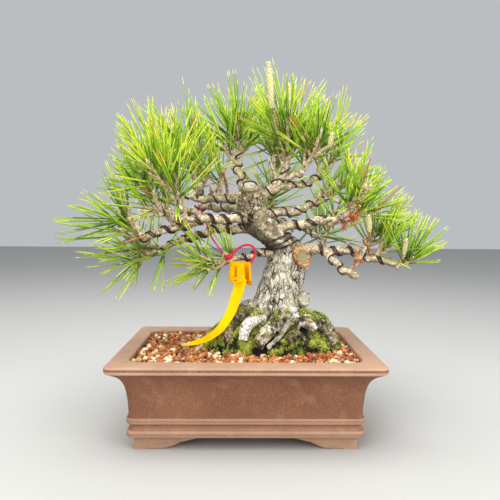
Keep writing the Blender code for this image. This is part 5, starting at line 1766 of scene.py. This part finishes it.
def grow_shoots(name, bough, rng):
    """Leafy shoots of a mass, evenly round its aim: bent lines from its heart or from the bough below."""
    _, heart, aim, fan, count, spread, _, _ = MASSES[name]
    span = mm(*aim) - mm(*heart)
    reach = np.linalg.norm(span)
    axis = span / reach
    narrow = front_share(name)
    shoots = []
    for index in range(count):
        lean = math.radians(fan) * math.sqrt(index / count) * spread * narrow
        way = leaning(axis, np.array([lean]), np.array([index * GOLDEN_ANGLE + rng.random()]))[0]
        way = unit(way + UP * SHOOT_RISE * (1.0 + axis[2]) * narrow)
        length = reach * SHOOT_SHARE * rng.uniform(*SHOOT_VARIES)
        back = rng.uniform(*(SHOOT_BACK if index % 2 else SHOOT_NEAR))
        root = bough[-1 - min(int(back / LIMB_STEP), len(bough) // 3), :3]
        end = root + way * length
        middle = mix(root, end, 0.5) - UP * rng.uniform(*SHOOT_SAG) + axis * rng.uniform(*SHOOT_BEND)
        shoots.append(smooth_path([root, middle, end], FINE_STEP))
    for foot, end in SIDE_SHOOTS.get(name, ()):
        root = bough[np.argmin(np.linalg.norm(bough[:, :3] - mm(*foot), axis=1)), :3]
        middle = mix(root, mm(*end), 0.5) - UP * rng.uniform(*SHOOT_SAG)
        shoots.append(smooth_path([root, middle, end], FINE_STEP))
    return shoots, reach


def spray(shoot, length, narrow, rng):
    """Roots, runs and bends of the needles along one shoot, in pairs up a spiral."""
    pairs = rng.randint(*PAIRS)
    share = (np.arange(pairs) + 0.5) / pairs
    roots = read_rows(shoot, mix(*NEEDLE_BED, share) * (len(shoot) - 1))
    axis = unit(shoot[-1] - shoot[-4])
    draw = np.array([[rng.random() for _ in range(NEEDLE_DRAWS)] for _ in range(pairs)])
    lean = np.radians(mix(*NEEDLE_LEAN, share ** LEAN_POWER)) * mix(*LEAN_VARIES, draw[:, 0]) * narrow
    turn = np.arange(pairs) * GOLDEN_ANGLE + draw[:, 1] * TURN_VARIES
    ways = unit(leaning(axis, lean, turn) + UP * NEEDLE_RISE)
    lengths = length * mix(*NEEDLE_VARIES, draw[:, 2:3])
    aside = unit(np.cross(ways, ASKEW) + PAIR_TWIST * UP * (draw[:, 3:4] - 0.5))
    split = np.radians(mix(*PAIR_SPLIT, draw[:, 4:5]))
    bend = (axis * NEEDLE_HUG + (draw[:, 3:6] - 0.5) * NEEDLE_WANDER) * lengths
    both = []
    for sign in (-1.0, 1.0):
        run = unit(ways + aside * sign * split) * lengths
        both.append((roots + aside * sign * PAIR_APART, run, bend + aside * sign * lengths * PAIR_BOW))
    return [np.concatenate(column) for column in zip(*both)]


def add_blades(parts, roots, runs, bends, slots):
    """Every needle as a slim three-sided blade that narrows to its point, with a slot for each stretch."""
    shares = np.array(NEEDLE_ROWS)[None, :, None]
    centre = roots[:, None] + runs[:, None] * shares + bends[:, None] * shares ** 2
    way = unit(runs)
    side = unit(np.cross(way, BLADE_ASKEW))
    lift = np.cross(way, side)
    widths = np.array(NEEDLE_WIDTHS)[None, :, None]
    corners = []
    for across, high in NEEDLE_CORNERS:
        corners.append(centre[:, :-1] + (side[:, None] * across + lift[:, None] * high) * widths)
    rings = np.stack(corners, axis=2).reshape(len(roots), -1, 3)
    tip = rings.shape[1]
    tris = np.array([(tip - 3, tip - 2, tip), (tip - 2, tip - 1, tip), (tip - 1, tip - 3, tip), (0, 2, 1)])
    base = np.arange(len(roots))[:, None, None] * (tip + 1)
    quads = base + tube_faces(len(NEEDLE_WIDTHS), 3)[0]
    faces = [quads.reshape(-1, 4), (base + tris).reshape(-1, 3)]
    face_slots = [np.repeat(slots[:, :-1], 3, axis=1).ravel(), slots[:, [-1, -1, -1, 0]].ravel()]
    parts.add(np.concatenate([rings, centre[:, -1:]], axis=1), faces, face_slots)


def needle_tones(count, tone, rng):
    """Slot of each stretch of each needle of a spray: deeper at its foot, yellow at its tip."""
    slots = np.tile(np.array(TONES[tone]), (count, 1))
    for row in range(count):
        if rng.random() < ODD_SHARE:
            slots[row] = TONES[rng.randrange(len(TONES))]
        draw = rng.random()
        if draw < DEAD_SHARE:
            slots[row] = DEAD_TONE
        elif draw < DEAD_SHARE + BURNT_SHARE:
            slots[row, -2:] = BURNT_TONE
    return slots


def add_bracts(parts, line, radii, count, rng, slot):
    """Small pointed scales in a spiral up a line, each lying close and standing proud at its tip."""
    sides, lifts = path_frames(line)
    ways = unit(np.gradient(line, axis=0))
    for number in range(count):
        index = int((number + rng.random() * BRACT_STRAY) / count * (len(line) - 2))
        turn = number * GOLDEN_ANGLE
        out = sides[index] * math.cos(turn) + lifts[index] * math.sin(turn)
        wide = np.cross(ways[index], out) * BRACT_LENGTH * BRACT_WIDE
        foot = line[index] + out * radii[index] * BRACT_SEAT
        tip = foot + (ways[index] + out * rng.uniform(*BRACT_PROUD)) * BRACT_LENGTH
        verts = [foot - wide, foot + wide, foot + out * BRACT_LENGTH * BRACT_THICK, tip]
        parts.add(verts, [SPIKE_FACES], slot)


def add_candle(parts, foot, tip, radius, rng, slot):
    """Pale new shoot: a spindle clothed in scales."""
    line = smooth_path([foot, mix(mm(*foot), mm(*tip), 0.5), tip], CANDLE_STEP)
    radii = radius * np.interp(np.linspace(0.0, 1.0, len(line)), *CANDLE_SHAPE)
    parts.tube(line, radii, CANDLE_SIDES, slot)
    length = np.linalg.norm(line[-1] - line[0])
    add_bracts(parts, line, radii, int(length * CANDLE_BRACTS), rng, slot)


def add_dead_tuft(parts, middle, reach, count, rng):
    """Knot of short dead scales that stick out all ways."""
    for _ in range(count):
        way = unit(mm(rng.gauss(0, 1), rng.gauss(0, 1), rng.gauss(0.2, 1)))
        side = unit(np.cross(way, ASKEW))
        foot = middle + way * rng.uniform(*DEAD_FOOT) * reach
        tip = foot + way * rng.uniform(*DEAD_RUN) * reach
        back = foot + np.cross(side, way) * DEAD_THICK
        parts.add([foot - side * DEAD_WIDE, foot + side * DEAD_WIDE, back, tip], [SPIKE_FACES], DEAD_SLOT)


def add_twig(twigs, scales, shoot, rng):
    """Leafy twig with its scales and its bud."""
    add_limb(twigs, shoot, np.linspace(*TWIG_RADII, len(shoot)), TWIG_SIDES, rng.randrange(SEEDS), TWIG_ROUGH)
    leafy = shoot[int(len(shoot) * TWIG_BARE):]
    add_bracts(scales, leafy, np.full(len(leafy), TWIG_RADII[1]), BRACTS, rng, TWIG_SLOT)
    bud = shoot[-1] + unit(shoot[-1] - shoot[-3]) * rng.uniform(*BUD_LENGTHS)
    add_candle(scales, shoot[-1], bud, rng.uniform(*BUD_RADII), rng, rng.choice((TWIG_SLOT, CANDLE_SLOT)))


def add_needles(parts, space, name, shoot, length, rng):
    """Needles of one shoot, as far as they have room, in the tones of their spray."""
    roots, runs, bends = spray(shoot, length, front_share(name), rng)
    shares = space.room(name, roots, runs + bends)
    kept = shares > 0.0
    if kept.any():
        tone = rng.choices(range(len(TONES)), TONE_SHARES)[0]
        slots = needle_tones(int(kept.sum()), tone, rng)
        shares = shares[kept, None]
        add_blades(parts, roots[kept], runs[kept] * shares, bends[kept] * shares, slots)


def make_crown(lines):
    """Every mass: its twigs, buds, needles and candles, joined by kind."""
    space = NeedleSpace(lines)
    twigs = MeshParts()
    scales = MeshParts()
    needles = {side: MeshParts() for side in CROWN_SIDES}
    for name, (limb, heart, *_, length, side) in MASSES.items():
        rng = random.Random(name)
        shoots, reach = grow_shoots(name, lines[limb], rng)
        for shoot in shoots:
            add_twig(twigs, scales, shoot, rng)
            add_needles(needles[side], space, name, shoot, reach * length, rng)
        for foot, tip, radius in CANDLES.get(name, ()):
            add_candle(scales, foot, tip, radius, rng, CANDLE_SLOT)
            stalk = smooth_path([heart, foot], FINE_STEP)
            radii = np.full(len(stalk), TWIG_RADII[0])
            add_limb(twigs, stalk, radii, TWIG_SIDES, rng.randrange(SEEDS), TWIG_ROUGH)
    rng = random.Random("dead")
    for middle, reach, count in DEAD_TUFTS:
        add_dead_tuft(scales, mm(*middle), reach, count, rng)
    greens = plain_materials(NEEDLE_COLOURS, NEEDLE_GRAIN, NEEDLE_DEPTH)
    for side in CROWN_SIDES:
        members = [name for name, row in MASSES.items() if row[-1] == side]
        place(needles[side].piece("needles_" + side, greens), "needle", *members)
    twig_piece = twigs.piece("twigs_bark", [limb_material(*TWIG_COLOURS)])
    set_value(twig_piece, "crack_and_shade", np.zeros(twigs.count))
    place(twig_piece, "bough_bark")
    place(scales.piece("bud_scales", plain_materials(SCALE_COLOURS)), "bough_bark")


# Label and its tie

def add_strip(parts, rows, across, slot, low=-0.5, high=0.5):
    """Thin flexible strip along rows of places and widths, or what lies between two shares of its width."""
    line = rows[:, :3]
    ways = unit(np.gradient(line, axis=0))
    rings = []
    for way, centre, width in zip(ways, line, rows[:, 3]):
        across = unit(across - way * np.dot(across, way))
        thick = np.cross(across, way) * LABEL_THICK / 2.0
        left = centre + across * width * low
        right = centre + across * width * high
        rings.append([left - thick, right - thick, right + thick, left + thick])
    parts.add(rings, tube_faces(len(line), 4), slot)


def make_label():
    """Blank plant label: its end is wound into a slit loop, and its tail curls down to the soil."""
    parts = MeshParts()
    loop = smooth_path(LABEL_LOOP, LABEL_STEP)
    x, y = loop[:, 0], loop[:, 1]
    front = (x < LABEL_FRONT[0]) & (y < LABEL_FRONT[1])
    levels = sorted({-0.5, 0.5, *(level for row in LABEL_CUTS for level in row[2:])})
    for low, high in zip(levels, levels[1:]):
        shown = np.full(len(loop), True)
        for left, right, bottom, top in LABEL_CUTS:
            if bottom <= low and high <= top:
                shown &= ~(front & (x > left) & (x < right))
        edges = np.flatnonzero(np.diff(np.concatenate([[0], shown.astype(int), [0]])))
        for first, last in zip(edges[::2], edges[1::2]):
            add_strip(parts, loop[first:last], LABEL_ACROSS, 1, low, high)
    add_strip(parts, smooth_path(LABEL_TAIL, TAIL_STEP), TAIL_ACROSS, 0)
    add_strip(parts, smooth_path(LABEL_POINT, FINE_STEP), LABEL_ACROSS, 2)
    label = parts.piece("label_strip", [strip_material(*row, **LABEL_SHINE) for row in LABEL_COLOURS])
    label.data.set_sharp_from_angle(angle=math.radians(LABEL_SOFT_ANGLE))
    return place(label, "label", "label")


def make_tie():
    """Soft flat tape that hangs from the low left limb, knotted where it takes the label."""
    parts = MeshParts()
    for points in TIE_RUNS:
        line = smooth_path(points, FINE_STEP)
        parts.tube(line[:, :3], line[:, 3], TIE_SIDES)
    return place(parts.piece("tie_tape", [strip_material(*TIE_COLOURS)]), "tie", "label_tie")


# Stage

def make_light(name, place_m, target_m, size, power, colour):
    light = bpy.data.lights.new(name, "AREA")
    light.size = size
    light.energy = power
    light.color = colour
    item = bpy.data.objects.new(name, light)
    item.location = place_m
    item.rotation_euler = (Vector(target_m) - Vector(place_m)).to_track_quat("-Z", "Y").to_euler()
    bpy.context.scene.collection.objects.link(item)


def make_stage():
    """Pale floor, an even sky, three soft lights, and the camera that took the photo."""
    half = FLOOR_HALF / MM
    parts = MeshParts()
    corners = [(-half, -half, 0), (half, -half, 0), (half, half, 0), (-half, half, 0)]
    parts.add(corners, [np.array([(0, 1, 2, 3)])])
    floor = parts.piece("floor", [Shade("pale_floor", FLOOR_COLOUR, FLOOR_ROUGH).material], smooth=False)
    world = bpy.data.worlds.new("studio")
    world.use_nodes = True
    backdrop = world.node_tree.nodes["Background"]
    backdrop.inputs["Color"].default_value = WORLD_COLOUR
    backdrop.inputs["Strength"].default_value = WORLD_STRENGTH
    bpy.context.scene.world = world
    for light in LIGHTS:
        make_light(*light)
    camera = bpy.data.objects.new("camera", bpy.data.cameras.new("camera"))
    camera.data.angle = 2.0 * math.atan(IMAGE_HALF / FOCAL_PIXELS)
    camera.location = CAMERA_PLACE
    yaw, pitch, roll = (math.radians(angle) for angle in CAMERA_TURN)
    tilt = Matrix.Rotation(math.pi / 2.0 + pitch, 4, "X")
    turn = Matrix.Rotation(yaw, 4, "Z") @ tilt @ Matrix.Rotation(roll, 4, "Z")
    camera.rotation_euler = turn.to_euler()
    bpy.context.scene.collection.objects.link(camera)
    bpy.context.scene.camera = camera
    bpy.context.scene.view_settings.view_transform = "Standard"


def main():
    make_stage()
    make_pot()
    make_soil()
    bed = make_moss_bed()
    trunk = make_trunk()
    faces = [face.vertices[:] for face in trunk.data.polygons]
    tree = BVHTree.FromPolygons(mesh_points(trunk).tolist(), faces)
    make_moss_tufts(bed, trunk, faces, tree)
    make_grains()
    make_scars()
    lines = bough_lines(limb_paths())
    make_boughs(lines)
    make_wires(lines, tree)
    make_crown(lines)
    make_label()
    make_tie()


main()
